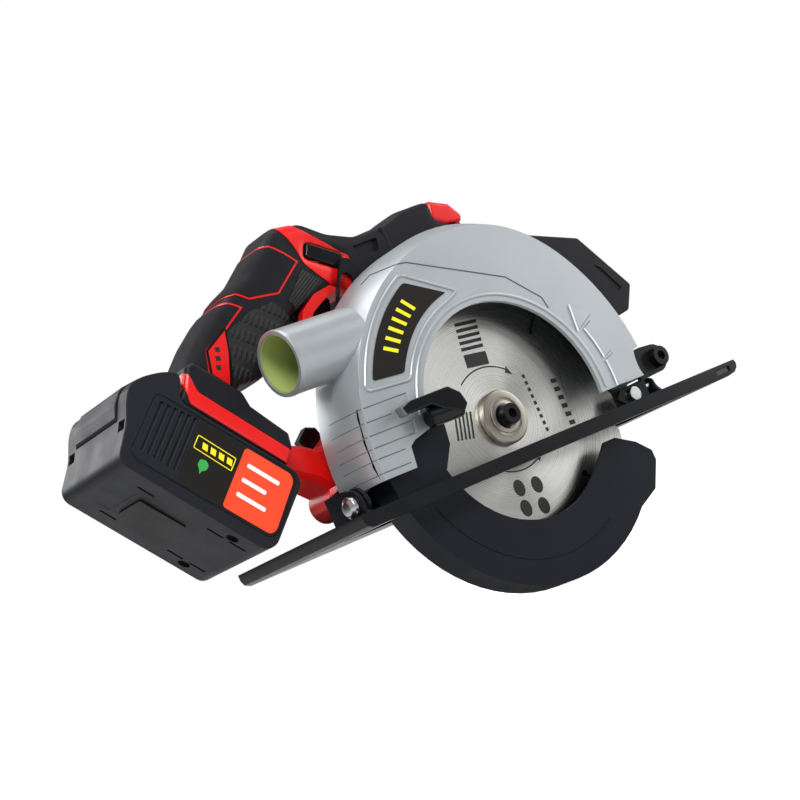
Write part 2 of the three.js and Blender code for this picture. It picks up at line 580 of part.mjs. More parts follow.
// ---------------------------------------------------------------- lower guard
function lowerGuard() {
  const { y0, y1, sheet, radius, inner, hub } = LOWER_GUARD;
  const lip = [[46, -42], [54, -35], [63, -35], [77, -42], [86, -50], [86, -56], [76, -71]];
  const rear = [[-80, 4], [-66, 7], [-62, 19], [-55, 23], [-49, 19], [-48, 8], [-50, -3], [-59, -15]];
  const outerArc = arc(0, 0, radius, -52, -177, 24);
  const innerArc = arc(0, 0, inner, -166, -55, 20);
  const cheek = [...lip, ...outerArc, ...rear, ...innerArc];
  const front = slab(fromSpindle(cheek), y0, y0 + sheet);
  const lipWall = slab(fromSpindle([...lip, ...arc(0, 0, radius, -52, -60, 2), [47, -80], [40, -60]]), y0, y1);
  const lipHollow = slab(fromSpindle([[40, -42], [55, -37.2], [62.5, -37.2], [76, -44], [84, -51], [84, -55.6],
    [74, -70], ...arc(0, 0, radius - sheet, -53, -64, 3), [30, -70]]), y0 + sheet, y1 - sheet);
  const band = slab(fromSpindle([...arc(0, 0, radius, -52, -177, 24), ...arc(0, 0, radius - sheet, -177, -52, 24)]),
    y0, y1);
  const backOutline = [...arc(0, 0, radius, -52, -177, 24), [-70, 6], [-20, 14], [0, 24], [20, 6], [46, -42]];
  const backCheek = slab(fromSpindle(backOutline), y1 - sheet, y1);
  const hubRing = rodY(SPINDLE.x, SPINDLE.z, 28, y1 - sheet, y1 + 2, 32);
  const bore = rodY(SPINDLE.x, SPINDLE.z, hub, y1 - 6, y1 + 6, 32);
  const rim = plus(lipWall.subtract(lipHollow), band);
  const bladeRoom = rodY(SPINDLE.x, SPINDLE.z, 93, y0 + sheet, y1 - sheet, 48);
  return minus(plus(front, rim, backCheek, hubRing), bore, bladeRoom);
}

function guardLever() {
  const y0 = LOWER_GUARD.y0 - GAP;
  const boss = rodY(SPINDLE.x - 55, SPINDLE.z + 16, 5.8, -70, y0, 20);
  const arm = [[-46, 12], [-47, 19], [-54, 24.5], [-79, 24.5], [-95, 22], [-96.5, 17.5], [-88, 16.8], [-70, 13], [-55, 9.5]];
  const plate = slab(fromSpindle(arm), -70, -62.5, { size: 1.2, segments: 1 });
  return plus(boss, plate);
}

addPart("lower_guard", lowerGuard(), FINISH.guardBlue);
addPart("guard_lever", guardLever(), FINISH.black);

// ---------------------------------------------------------------- depth clamp
const [CLAMP_X, CLAMP_Z] = depthClampPoint();
addPart("depth_clamp_bolt", plus(
  rodY(CLAMP_X, CLAMP_Z, 3.9, -22, 22), rodY(CLAMP_X, CLAMP_Z, 6.4, -23.5, -20.9)), FINISH.steel);

function depthLever() {
  const hub = rodY(CLAMP_X, CLAMP_Z, 7.5, 14.6, 23, 20);
  const arm = [[CLAMP_X - 6, CLAMP_Z - 2], [CLAMP_X + 6, CLAMP_Z + 2], [-78, 66], [-84, 68], [-92, 62], [-89, 52]];
  return plus(hub, slab(arm, 15.6, 23, { size: 1.2, segments: 1 })).subtract(rodY(CLAMP_X, CLAMP_Z, 4.3, 10, 30));
}
addPart("depth_lever", depthLever(), FINISH.black);

// ---------------------------------------------------------------- handle
const GRIP = [
  [-164.6, 112.6], [-146.3, 129.2], [-132.1, 139.1], [-113.5, 149.3], [-101.4, 154.4], [-85.5, 166], [-75, 175],
  [-53.4, 173.7], [-33, 160], [-38, 140], [-51, 131], [-82, 126], [-111.2, 100.4], [-119.5, 97.6], [-132, 98.5],
  [-145.2, 90.4],
];
const FRONT_HANDLE = [
  [-45, 166], [-20.7, 157.7], [-1.3, 159.4], [15.3, 164.5], [41.3, 165.7], [56.2, 160.5], [62.8, 151], [58, 143.5],
  [33, 136.5], [20, 122], [20, 90], [-32, 90], [-40, 125], [-50, 140],
];

const TRIGGER = [[-80, 128], [-52, 133], [-49.5, 128], [-52, 121.5], [-57, 120], [-73, 119.6], [-79, 122.5]];
const CAP = [[41.6, 165.4], [56.2, 160.3], [62.6, 151.4], [60.2, 147.4], [48, 148.6], [38.4, 153.6]];
const CAP_ROOM = [[41.2, 180], [80, 180], [80, 145], [60.3, 146.8], [48, 148.1], [38, 153.2]];
const LOCK_OFF = { x: -49, z: 151, length: 24, width: 9, angle: -31 };

function lockOffBlock(grow, y0, y1) {
  const geometry = new THREE.BoxGeometry(LOCK_OFF.length + grow * 2, y1 - y0, LOCK_OFF.width + grow * 2);
  geometry.rotateY(rad(-LOCK_OFF.angle));
  geometry.translate(LOCK_OFF.x, (y0 + y1) / 2, LOCK_OFF.z);
  return solid(geometry);
}

const HANDLE_SCREWS = [[-146, 113], [-100, 137], [-10, 146]];

function handleBody() {
  const w = HANDLE_HALF_WIDTH;
  const outlines = [GRIP, FRONT_HANDLE];
  const outer = plus(...outlines.map((outline) => slab(outline, -w, w, { size: 6.5, segments: 3 })));
  const inner = plus(...outlines.map((outline) => slab(outline, -w + 2.6, w - 2.6,
    { size: 4.5, segments: 2, grow: -2.6 })));
  const motorRoom = rodY(MOTOR.x, MOTOR.z, 38.5, -30, 30, 48);
  const triggerRoom = slab(TRIGGER, -7.4, 7.4, { grow: 0.5 });
  const triggerPath = slab([[-80.4, 121], [-49.4, 126], [-51, 140], [-82, 136]], -7.4, 7.4);
  const capRoom = slab(CAP_ROOM, -20, 20);
  return minus(outer, inner, motorRoom, triggerRoom, triggerPath, capRoom, lockOffBlock(0.3, -30, -8));
}

const handle = handleBody();
const nearHalf = handle.intersect(box(-200, 100, -40, -GAP / 2, 0, 200));
const screwHoles = HANDLE_SCREWS.map(([x, z]) => rodY(x, z, 4, 8, 30, 16));
const farHalf = minus(handle.intersect(box(-200, 100, GAP / 2, 40, 0, 200)), ...screwHoles);
addPart("handle_shell_near", nearHalf, FINISH.rubber);
addPart("handle_shell_far", farHalf, FINISH.rubber);
addPart("front_handle_cap", slab(CAP, -12.5, 12.5, { size: 1.5, segments: 1 }), FINISH.red);
HANDLE_SCREWS.forEach(([x, z], i) => {
  const screw = plus(rodY(x, z, 1.8, 2, 14), rodY(x, z, 3.6, 13.4, 16.2)).subtract(rodY(x, z, 1.4, 15, 18, 6));
  addPart(`handle_screw_${i + 1}`, screw, FINISH.steelBlack);
});

addPart("trigger", slab(TRIGGER, -7, 7, { size: 1.2, segments: 1 }), FINISH.black);
addPart("lock_off_button", lockOffBlock(0, -17.6, -10), FINISH.black);

const SWITCH = { x: -66, z: 150, angle: -20 };
function switchModule() {
  const geometry = new THREE.BoxGeometry(26, 14, 12);
  geometry.rotateY(rad(SWITCH.angle));
  geometry.translate(SWITCH.x, 1, SWITCH.z - 2);
  return solid(geometry);
}
addPart("switch_module", switchModule().intersect(box(-200, 0, -7, 12, 141, 200)), FINISH.black);

// ---------------------------------------------------------------- battery foot and battery
const FOOT = [[3, -0.4], [3, -12], [8, -18.6], [33, -20.5], [40, -25], [71, -25], [74, -20], [70.5, -9], [70.5, -0.4]];
const PACK = [[-8, 6], [-3, 0], [71, 0], [72, -8], [76, -18], [81, -23], [88, -20], [95, -8], [97, 4], [96, 14],
  [90, 28], [87.5, 44], [84, 47], [-2, 48.5], [-7, 43]];

function batteryFoot() {
  const w = BATTERY_HALF_WIDTH - 1;
  const block = slab(fromBattery(FOOT), -w, w, { size: 3, segments: 2 });
  const hollow = slab(fromBattery([[12, 3], [12, -13], [62, -15], [62, 3]]), -w + 7, w - 7);
  return block.subtract(hollow);
}

function batteryCase() {
  const w = BATTERY_HALF_WIDTH;
  const body = slab(fromBattery(PACK), -w, w, { size: 4, segments: 2 });
  const cavity = slab(fromBattery([[-4.9, 6], [85.2, 6], [85.6, 24], [85.3, 43.4], [-4.9, 44.6]]), -w + 2.4, w - 2.4);
  const mouth = slab(fromBattery([[16, -5], [56, -5], [56, 10], [16, 10]]), -20, 20);
  const latchRoom = slab(fromBattery([[76.8, -30], [76.8, -13.8], [87.8, -4], [90.8, 12], [88, 21.6], [110, 26], [110, -30]]), -20.4, 20.4);
  return minus(body, cavity, mouth, latchRoom);
}

// Ten cells lie side by side across the pack, joined by a plastic holder at each end.
function batteryCells() {
  const cells = [];
  for (let row = 0; row < 2; row += 1) {
    for (let column = 0; column < 5; column += 1) {
      const [[x, z]] = fromBattery([[4.2 + column * 17.95, 15.4 + row * 18.1]]);
      cells.push(rodY(x, z, 8.9, -32, 32, 8));
    }
  }
  const holderOutline = fromBattery([[0, 7], [84, 7], [84, 42], [0, 42]]);
  const holders = [-27, 23].map((y) => slab(holderOutline, y, y + 4));
  return plus(...cells, ...holders);
}

function batteryLatch() {
  const outline = fromBattery([[79.5, -22], [88, -20], [95, -8], [97, 4], [96, 14], [92.6, 21], [90.6, 21],
    [93.4, 12], [90.4, -4.6], [79.5, -14.4]]);
  return slab(outline, -20, 20, { size: 1, segments: 1 });
}

addPart("battery_foot", batteryFoot(), FINISH.black);
addPart("terminal_block", slab(fromBattery([[24, -3], [24, -12.4], [50, -12.4], [50, -3]]), -16, 16), FINISH.board);
addPart("battery_case", batteryCase(), FINISH.black);
addPart("battery_cells", batteryCells(), FINISH.cell);
addPart("battery_latch", batteryLatch(), FINISH.black);

export default saw;
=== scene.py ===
"""The looks of a cordless circular saw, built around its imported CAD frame."""

import math

import bmesh
import bpy
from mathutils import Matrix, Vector
from mathutils.bvhtree import BVHTree


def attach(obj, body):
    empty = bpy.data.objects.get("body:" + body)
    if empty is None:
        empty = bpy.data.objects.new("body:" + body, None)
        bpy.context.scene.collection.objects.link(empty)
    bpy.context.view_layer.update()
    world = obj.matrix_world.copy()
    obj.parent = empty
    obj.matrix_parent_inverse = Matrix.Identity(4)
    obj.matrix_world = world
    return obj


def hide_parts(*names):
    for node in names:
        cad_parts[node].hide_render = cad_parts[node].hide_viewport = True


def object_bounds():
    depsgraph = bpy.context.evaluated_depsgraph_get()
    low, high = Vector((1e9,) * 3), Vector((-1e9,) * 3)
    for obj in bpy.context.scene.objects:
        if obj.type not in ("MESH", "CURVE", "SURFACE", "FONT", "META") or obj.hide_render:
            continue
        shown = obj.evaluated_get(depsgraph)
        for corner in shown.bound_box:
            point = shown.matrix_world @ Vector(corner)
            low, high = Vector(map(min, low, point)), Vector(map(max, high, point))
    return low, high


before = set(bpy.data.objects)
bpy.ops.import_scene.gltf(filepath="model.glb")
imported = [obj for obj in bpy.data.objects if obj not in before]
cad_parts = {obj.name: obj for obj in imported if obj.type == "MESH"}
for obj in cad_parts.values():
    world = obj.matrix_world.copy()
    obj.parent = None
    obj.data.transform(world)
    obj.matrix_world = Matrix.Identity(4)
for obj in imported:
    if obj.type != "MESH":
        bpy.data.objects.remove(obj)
bpy.context.view_layer.update()
cad_lo, cad_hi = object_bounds()
MM = 0.001
SPINDLE_X, SPINDLE_Z = 0.0, 28.5


# ------------------------------------------------------------------ places
class Plane:
    """A drawing plane in the part frame: u and v across it, w out of it, in millimetres."""

    def __init__(self, origin, u, v, w):
        self.origin, self.u, self.v, self.w = Vector(origin), Vector(u), Vector(v), Vector(w)

    def at(self, u, v, w):
        return (self.origin + self.u * u + self.v * v + self.w * w) * MM


SIDE = Plane((0, 0, 0), (1, 0, 0), (0, 0, 1), (0, 1, 0))
ABOUT_SPINDLE = Plane((SPINDLE_X, 0, SPINDLE_Z), (1, 0, 0), (0, 0, 1), (0, 1, 0))
PACK_ALONG = Vector((-0.6606, 0, 0.7507))
PACK_AWAY = Vector((-0.7507, 0, -0.6606))
PACK_ORIGIN = (-139, 0, 45)
PACK_SIDE = Plane(PACK_ORIGIN, PACK_ALONG, PACK_AWAY, (0, 1, 0))
PACK_BOTTOM = Plane(PACK_ORIGIN, PACK_ALONG, (0, 1, 0), PACK_AWAY)
MOTOR_X, MOTOR_Z = 6, 60
ABOUT_MOTOR = Plane((MOTOR_X, 0, MOTOR_Z), (1, 0, 0), (0, 0, 1), (0, 1, 0))


def polar(radius, degrees):
    a = math.radians(degrees)
    return (radius * math.cos(a), radius * math.sin(a))


def arc(radius, start, end, steps):
    return [polar(radius, start + (end - start) * i / steps) for i in range(steps + 1)]


def oval(u, v, half_u, half_v, steps=20):
    """An ellipse about a point, upright on its plane."""
    turns = [2 * math.pi * t / steps for t in range(steps)]
    return [(u + half_u * math.cos(a), v + half_v * math.sin(a)) for a in turns]


def rounded(outline, radius, steps=4):
    """The outline with each corner rounded."""
    out = []
    count = len(outline)
    for i in range(count):
        here = Vector(outline[i])
        before = Vector(outline[i - 1]) - here
        after = Vector(outline[(i + 1) % count]) - here
        reach = min(radius, before.length * 0.45, after.length * 0.45)
        start = here + before.normalized() * reach
        end = here + after.normalized() * reach
        for k in range(steps + 1):
            t = k / steps
            out.append(tuple(start * (1 - t) ** 2 + here * 2 * t * (1 - t) + end * t * t))
    return out


def inset(outline, amount):
    """The outline moved inwards by the amount."""
    area = sum(p[0] * q[1] - q[0] * p[1] for p, q in zip(outline, outline[1:] + outline[:1]))
    turn = 1 if area > 0 else -1
    out = []
    count = len(outline)
    for i in range(count):
        here = Vector(outline[i])
        before = (here - Vector(outline[i - 1])).normalized()
        after = (Vector(outline[(i + 1) % count]) - here).normalized()
        normal_a = Vector((-before.y, before.x)) * turn
        normal_b = Vector((-after.y, after.x)) * turn
        mitre = (normal_a + normal_b)
        scale = amount / max(0.35, 1 + normal_a.dot(normal_b)) if mitre.length else 0
        out.append(tuple(here + mitre * scale))
    return out


# ------------------------------------------------------------------ materials
def tone(red, green, blue):
    """A display colour as the linear colour that the shader takes."""
    def linear(c):
        c /= 255
        return c / 12.92 if c <= 0.04045 else ((c + 0.055) / 1.055) ** 2.4
    return (linear(red), linear(green), linear(blue), 1.0)


def shade(colour, factor):
    return tuple(min(1.0, c * factor) for c in colour[:3]) + (1.0,)


class Finish:
    """A procedural material and its node tools."""

    def __init__(self, name):
        self.material = bpy.data.materials.new(name)
        self.material.use_nodes = True
        self.tree = self.material.node_tree
        self.shader = self.tree.nodes["Principled BSDF"]
        self.coords = self.tree.nodes.new("ShaderNodeTexCoord").outputs["Object"]

    def node(self, kind, inputs=None, **settings):
        made = self.tree.nodes.new(kind)
        for key, value in settings.items():
            setattr(made, key, value)
        for key, value in (inputs or {}).items():
            if isinstance(value, bpy.types.NodeSocket):
                self.tree.links.new(value, made.inputs[key])
            else:
                made.inputs[key].default_value = value
        return made

    def noise(self, scale, detail=3.0, vector=None):
        made = self.node("ShaderNodeTexNoise", {"Scale": scale, "Detail": detail})
        self.tree.links.new(vector or self.coords, made.inputs["Vector"])
        return made.outputs["Fac"]

    def spread(self, value, low, high, start=0.3, end=0.7):
        return self.node(
            "ShaderNodeMapRange",
            {"Value": value, "From Min": start, "From Max": end, "To Min": low, "To Max": high},
        ).outputs["Result"]

    def mix(self, factor, first, second):
        made = self.node("ShaderNodeMix", data_type="RGBA")
        for key, value in ((0, factor), (6, first), (7, second)):
            if isinstance(value, bpy.types.NodeSocket):
                self.tree.links.new(value, made.inputs[key])
            else:
                made.inputs[key].default_value = value
        return made.outputs[2]

    def maths(self, operation, first, second=0.0):
        made = self.node("ShaderNodeMath", operation=operation)
        for key, value in ((0, first), (1, second)):
            if isinstance(value, bpy.types.NodeSocket):
                self.tree.links.new(value, made.inputs[key])
            else:
                made.inputs[key].default_value = value
        return made.outputs[0]

    def axes(self):
        made = self.node("ShaderNodeSeparateXYZ", {"Vector": self.coords})
        return made.outputs[0], made.outputs[1], made.outputs[2]

    def bump(self, height, distance, strength=1.0):
        made = self.node("ShaderNodeBump", {"Height": height, "Distance": distance, "Strength": strength})
        previous = self.shader.inputs["Normal"].links
        if previous:
            self.tree.links.new(previous[0].from_socket, made.inputs["Normal"])
        self.tree.links.new(made.outputs["Normal"], self.shader.inputs["Normal"])

    def drive(self, socket, value):
        if isinstance(value, bpy.types.NodeSocket):
            self.tree.links.new(value, self.shader.inputs[socket])
        else:
            self.shader.inputs[socket].default_value = value


def finish(name, colour, rough, metal=0.0, vary=0.12, grain=1500.0, relief=0.00002, coat=0.0, specular=0.5):
    """A finish whose tone and gloss vary over the surface, with a fine grain in relief."""
    f = Finish(name)
    cloud = f.noise(22.0, 4.0)
    fine = f.noise(grain, 2.0)
    base = f.mix(f.spread(cloud, 0.0, 1.0), shade(colour, 1 - vary), shade(colour, 1 + vary))
    speck = f.mix(f.spread(fine, 0.0, 0.5, 0.35, 0.75), base, shade(colour, 1 + vary * 2))
    f.drive("Base Color", speck)
    f.drive("Roughness", f.spread(f.noise(60.0, 5.0), rough * 0.86, min(1.0, rough * 1.16)))
    f.drive("Metallic", metal)
    f.drive("Specular IOR Level", specular)
    if coat:
        f.drive("Coat Weight", coat)
        f.drive("Coat Roughness", 0.12)
    f.bump(fine, relief)
    return f


def brushed_disc(name, colour, rough, line_scale, across):
    """Steel turned or ground in circles about the blade axis."""
    f = Finish(name)
    x, _, z = f.axes()
    dz = f.maths("SUBTRACT", z, SPINDLE_Z * MM)
    radius = f.maths("SQRT", f.maths("ADD", f.maths("MULTIPLY", x, x), f.maths("MULTIPLY", dz, dz)))
    rings = f.node("ShaderNodeTexNoise", {"W": radius, "Scale": line_scale, "Detail": 4.0},
                   noise_dimensions="1D")
    lines = rings.outputs["Fac"]
    stain = f.noise(30.0, 4.0)
    base = f.mix(f.spread(lines, 0.0, 1.0), shade(colour, 0.78), shade(colour, 1.12))
    f.drive("Base Color", f.mix(f.spread(stain, 0.0, 0.35, 0.45, 0.75), base, shade(colour, 0.7)))
    f.drive("Roughness", f.spread(lines, rough * 0.85, rough * 1.2))
    f.drive("Metallic", 1.0)
    f.drive("Anisotropic", across)
    tangent = f.node("ShaderNodeTangent", direction_type="RADIAL", axis="Y")
    f.tree.links.new(tangent.outputs["Tangent"], f.shader.inputs["Tangent"])
    f.bump(lines, 0.00001)
    return f


def ribbed(name, colour, rough, pitch_mm, along, cross_mm=0.0):
    """A moulded patch of fine ribs that run along a direction in the side view, in degrees, coloured with
    painted shade in the grooves and a painted highlight on the ridges.
    """
    f = finish(name, colour, rough, grain=2600.0)
    x, _, z = f.axes()
    a = math.radians(along)

    def ridge(cos_part, sin_part, pitch):
        across = f.maths("ADD", f.maths("MULTIPLY", x, cos_part), f.maths("MULTIPLY", z, sin_part))
        wave = f.maths("SINE", f.maths("MULTIPLY", across, 2 * math.pi / (pitch * MM)))
        return f.spread(wave, 0.0, 1.0, -0.6, 0.4)

    height = ridge(-math.sin(a), math.cos(a), pitch_mm)
    if cross_mm:
        height = f.maths("MINIMUM", height, ridge(math.cos(a), math.sin(a), cross_mm))
    f.bump(height, 0.0011)
    # painted shade and highlight: the colour is darkened in the rib grooves and lightened on the ridge tops
    low = f.mix(height, shade(colour, 0.25), shade(colour, 1.25))
    f.drive("Base Color", low)
    return f


SILVER = tone(168, 174, 177)
DULL = 0.12  # the specular level of the black parts
silver = finish("silver_casting", SILVER, 0.36, metal=0.55, vary=0.035, grain=2400.0, relief=0.000008)
# painted highlight: the near-white of beads along the lit edges of the arrow relief
edge_highlight = finish("edge_highlight", tone(236, 239, 241), 0.35, vary=0.03)
# painted shade: the dark grey of beads laid in the guard's grooves, along its facet step and round the foot of
# the arrow relief
groove_shade = finish("seam_shadow", tone(84, 90, 94), 0.6, vary=0.08)
grey_pad = finish("grey_pad", tone(92, 98, 100), 0.5, vary=0.1)
bumper_look = finish("bumper_rubber", tone(30, 30, 33), 0.5, vary=0.14, grain=2000.0, relief=0.00004,
                     specular=DULL)
black_steel = finish("black_steel", tone(20, 21, 24), 0.3, vary=0.2, grain=900.0, relief=0.00001,
                     coat=0.12, specular=DULL)
bright_steel = finish("bright_steel", tone(196, 198, 200), 0.26, metal=1.0, vary=0.08, grain=1800.0)
black_oxide = finish("black_oxide", tone(30, 30, 32), 0.34, metal=0.8, vary=0.15)
guard_black = finish("guard_black", tone(20, 23, 30), 0.42, vary=0.12, grain=1300.0, coat=0.05,
                     specular=DULL)
black_plastic = finish("black_plastic", tone(26, 26, 30), 0.46, vary=0.16, grain=1700.0, relief=0.00003,
                       specular=DULL)
gloss_black = finish("gloss_black", tone(12, 13, 15), 0.2, vary=0.1, grain=800.0, relief=0.000005,
                     coat=0.3, specular=DULL)
pack_plastic = finish("pack_plastic", tone(30, 31, 36), 0.42, vary=0.1, grain=1900.0, relief=0.00003,
                      specular=DULL)
grip_rubber = finish("grip_rubber", tone(24, 24, 27), 0.66, vary=0.2, grain=2200.0, relief=0.00006,
                     specular=DULL)
hatch_rubber = ribbed("hatch_rubber", tone(17, 17, 19), 0.6, 3.2, 53.0, 11.0)
rib_rubber = ribbed("rib_rubber", tone(20, 21, 23), 0.55, 1.7, 28.0)
red_plastic = finish("red_plastic", tone(216, 16, 14), 0.34, vary=0.06, grain=1500.0, relief=0.000015,
                     coat=0.1, specular=0.35)
orange_sheet = finish("orange_sheet", tone(250, 66, 22), 0.42, vary=0.03, relief=0.000006)
label_black = finish("label_black", tone(30, 28, 27), 0.4, vary=0.06, grain=2600.0, relief=0.000006,
                     specular=DULL)
yellow_ink = finish("yellow_ink", tone(250, 228, 8), 0.4, vary=0.04, relief=0.000004)
white_ink = finish("white_ink", tone(236, 236, 234), 0.45, vary=0.03, relief=0.000004)
green_ink = finish("green_ink", tone(46, 160, 70), 0.45, vary=0.05, relief=0.000004)
black_ink = finish("black_ink", tone(16, 16, 17), 0.5, vary=0.1, relief=0.000004)
olive = finish("dust_bore", tone(158, 172, 98), 0.62, vary=0.07, relief=0.00002)
copper = finish("copper", tone(190, 110, 62), 0.34, metal=1.0, vary=0.14, grain=700.0, relief=0.00004)
cell_wrap = finish("battery_cell", tone(64, 112, 152), 0.4, vary=0.08)
board = finish("terminal", tone(48, 52, 46), 0.5, vary=0.1)
nickel = brushed_disc("flange_nickel", tone(168, 163, 152), 0.3, 1400.0, 0.3)
blade_steel = brushed_disc("blade_steel", tone(208, 208, 204), 0.3, 2200.0, 0.86)
carbide = finish("carbide", tone(112, 114, 116), 0.34, metal=0.9, vary=0.1)


# ------------------------------------------------------------------ mesh tools
def add(name, bm, look):
    mesh = bpy.data.meshes.new(name)
    bmesh.ops.recalc_face_normals(bm, faces=bm.faces)
    bm.to_mesh(mesh)
    bm.free()
    made = bpy.data.objects.new(name, mesh)
    bpy.context.scene.collection.objects.link(made)
    if look:
        mesh.materials.append(look.material)
    return made


def bake(piece):
    """The piece's modifiers become its mesh."""
    graph = bpy.context.evaluated_depsgraph_get()
    baked = bpy.data.meshes.new_from_object(piece.evaluated_get(graph), depsgraph=graph)
    old = piece.data
    piece.modifiers.clear()
    piece.data = baked
    bpy.data.meshes.remove(old)
    return piece


def smooth(piece, degrees=32):
    for face in piece.data.polygons:
        face.use_smooth = True
    piece.data.set_sharp_from_angle(angle=math.radians(degrees))
    even = piece.modifiers.new("even", "WEIGHTED_NORMAL")
    even.keep_sharp = True
    even.weight = 80
    return piece


def bevelled(piece, width, segments=3, degrees=28):
    edge = piece.modifiers.new("edge", "BEVEL")
    edge.width = width * MM
    edge.segments = segments
    edge.limit_method = "ANGLE"
    edge.angle_limit = math.radians(degrees)
    edge.use_clamp_overlap = True
    edge.miter_outer = "MITER_ARC"
    return bake(piece)


def spread_of(mesh):
    """The diagonal of a mesh's box, or nothing for an empty mesh."""
    if not mesh.vertices:
        return 0.0
    places = [v.co for v in mesh.vertices]
    low = Vector([min(p[k] for p in places) for k in range(3)])
    high = Vector([max(p[k] for p in places) for k in range(3)])
    return (high - low).length


def combine(piece, other, operation):
    held = piece.data.copy()
    before = spread_of(held)
    tool = piece.modifiers.new("tool", "BOOLEAN")
    tool.operation = operation
    tool.solver = "EXACT"
    tool.object = other
    bake(piece)
    if operation == "DIFFERENCE" and spread_of(piece.data) < before * 0.97:
        print("cut left out:", piece.name, other.name)
        piece.data = held
    bpy.data.objects.remove(other)
    return piece


def cut(piece, *others):
    for other in others:
        combine(piece, other, "DIFFERENCE")
    return piece


def prism(name, outline, w0, w1, look=None, plane=SIDE, edge=0.0, segments=2):
    """A straight solid from an outline drawn on a plane, with rounded edges if edge is given."""
    bm = bmesh.new()
    near = [bm.verts.new(plane.at(u, v, w0)) for u, v in outline]
    far = [bm.verts.new(plane.at(u, v, w1)) for u, v in outline]
    bm.faces.new(near)
    bm.faces.new(far[::-1])
    count = len(outline)
    for i in range(count):
        bm.faces.new((near[i], far[i], far[(i + 1) % count], near[(i + 1) % count]))
    made = add(name, bm, look)
    if edge:
        bevelled(made, edge, segments)
    return made


def turned(name, profile, centre, look=None, steps=64, axis="Y"):
    """A solid of revolution about an axis through centre; the profile is (radius, distance) from it."""
    bm = bmesh.new()
    rings = []
    for i in range(steps):
        a = 2 * math.pi * i / steps
        row = []
        for radius, along in profile:
            across = (radius * math.cos(a), radius * math.sin(a))
            if axis == "Y":
                place = (centre[0] + across[0], centre[1] + along, centre[2] + across[1])
            else:
                place = (centre[0] + along, centre[1] + across[0], centre[2] + across[1])
            row.append(bm.verts.new(Vector(place) * MM))
        rings.append(row)
    count = len(profile)
    for i in range(steps):
        here, there = rings[i], rings[(i + 1) % steps]
        for k in range(count):
            n = (k + 1) % count
            bm.faces.new((here[k], here[n], there[n], there[k]))
    bmesh.ops.remove_doubles(bm, verts=bm.verts, dist=1e-7)
    bmesh.ops.dissolve_degenerate(bm, edges=bm.edges, dist=1e-8)
    return add(name, bm, look)


def bead(name, points, radius, look=None, sides=8, closed=False):
    """A round bead along a path of points, which are vectors in metres."""
    kept = []
    for point in points:
        if not kept or (point - kept[-1]).length > 0.3 * MM:
            kept.append(point)
    points = kept
    bm = bmesh.new()
    rows = []
    count = len(points)
    previous = None
    for i, here in enumerate(points):
        before = points[i - 1] if closed or i else here
        after = points[(i + 1) % count] if closed or i < count - 1 else here
        ahead = (after - before).normalized()
        if previous is None:
            side = ahead.orthogonal().normalized()
        else:
            side = (previous - ahead * previous.dot(ahead)).normalized()
        previous = side
        up = ahead.cross(side)
        row = []
        for k in range(sides):
            a = 2 * math.pi * k / sides
            row.append(bm.verts.new(here + (side * math.cos(a) + up * math.sin(a)) * radius * MM))
        rows.append(row)
    spans = count if closed else count - 1
    for i in range(spans):
        here, there = rows[i], rows[(i + 1) % count]
        for k in range(sides):
            n = (k + 1) % sides
            bm.faces.new((here[k], here[n], there[n], there[k]))
    if not closed:
        bm.faces.new(rows[0])
        bm.faces.new(rows[-1][::-1])
    return add(name, bm, look)


def resampled(outline, step, closed=False):
    """Points a step apart along a path drawn on a plane."""
    path = list(outline) + ([outline[0]] if closed else [])
    out = []
    for (u0, v0), (u1, v1) in zip(path, path[1:]):
        parts = max(1, round(math.hypot(u1 - u0, v1 - v0) / step))
        out += [(u0 + (u1 - u0) * k / parts, v0 + (v1 - v0) * k / parts) for k in range(parts)]
    return out if closed else out + [path[-1]]


def tree_of(piece):
    bm = bmesh.new()
    bm.from_mesh(piece.data)
    tree = BVHTree.FromBMesh(bm)
    bm.free()
    return tree


def draped(tree, outline, step=1.2, closed=False, side=-1, start=120.0):
    """A path drawn in the side view, laid on the surface that faces that side."""
    out = []
    for x, z in resampled(outline, step, closed):
        hit = tree.ray_cast(Vector((x, side * start, z)) * MM, Vector((0, -side, 0)))[0]
        if hit is not None:
            out.append(hit)
    return out


def copied(node, name=None, look=None):
    """A new mesh from a CAD node, with its flat areas as whole faces."""
    bm = bmesh.new()
    bm.from_mesh(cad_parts[node].data)
    bmesh.ops.remove_doubles(bm, verts=bm.verts, dist=2e-6)
    bmesh.ops.dissolve_limit(bm, angle_limit=math.radians(0.4), verts=bm.verts, edges=bm.edges)
    return add(name or node + "_finished", bm, look)


def refined(node, look, edge, segments=2, degrees=28):
    made = copied(node, look=look)
    if edge:
        bevelled(made, edge, segments, degrees)
    return made


def raised(source, name, outline, lift, look, low=-60.0, high=60.0, plane=SIDE):
    """The part of a surface inside an outline, standing proud of it by the lift."""
    made = bpy.data.objects.new(name, source.data.copy())
    bpy.context.scene.collection.objects.link(made)
    made.data.materials.clear()
    made.data.materials.append(look.material)
    for vertex, normal in zip(made.data.vertices, [v.normal.copy() for v in source.data.vertices]):
        vertex.co += normal * lift * MM
    combine(made, prism(name + "_tool", outline, low, high, plane=plane), "INTERSECT")
    return smooth(made, 40)


def place(piece, body, slot, *nodes, sharp=32):
    """Smooths the piece, rides it on its body and hides the CAD nodes that it stands for."""
    smooth(piece, sharp)
    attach(piece, body)
    if nodes:
        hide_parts(*nodes)
    return piece


def stand_in(node, body, slot, look, edge, segments=2, degrees=28, cutters=()):
    made = refined(node, look, edge, segments, degrees)
    cut(made, *cutters)
    return place(made, body, slot, node)


# ------------------------------------------------------------------ upper guard
FACE_Y = -58.0
guard = refined("upper_guard", silver, 1.1, 3)
guard_tree = tree_of(guard)

GROOVE_ENDS = [(-67.3, 59.0), (-82.5, 51.4), (-72.4, 44.2), (-74.1, 37.5), (-83.5, 31.5), (-83.9, 23.8)]


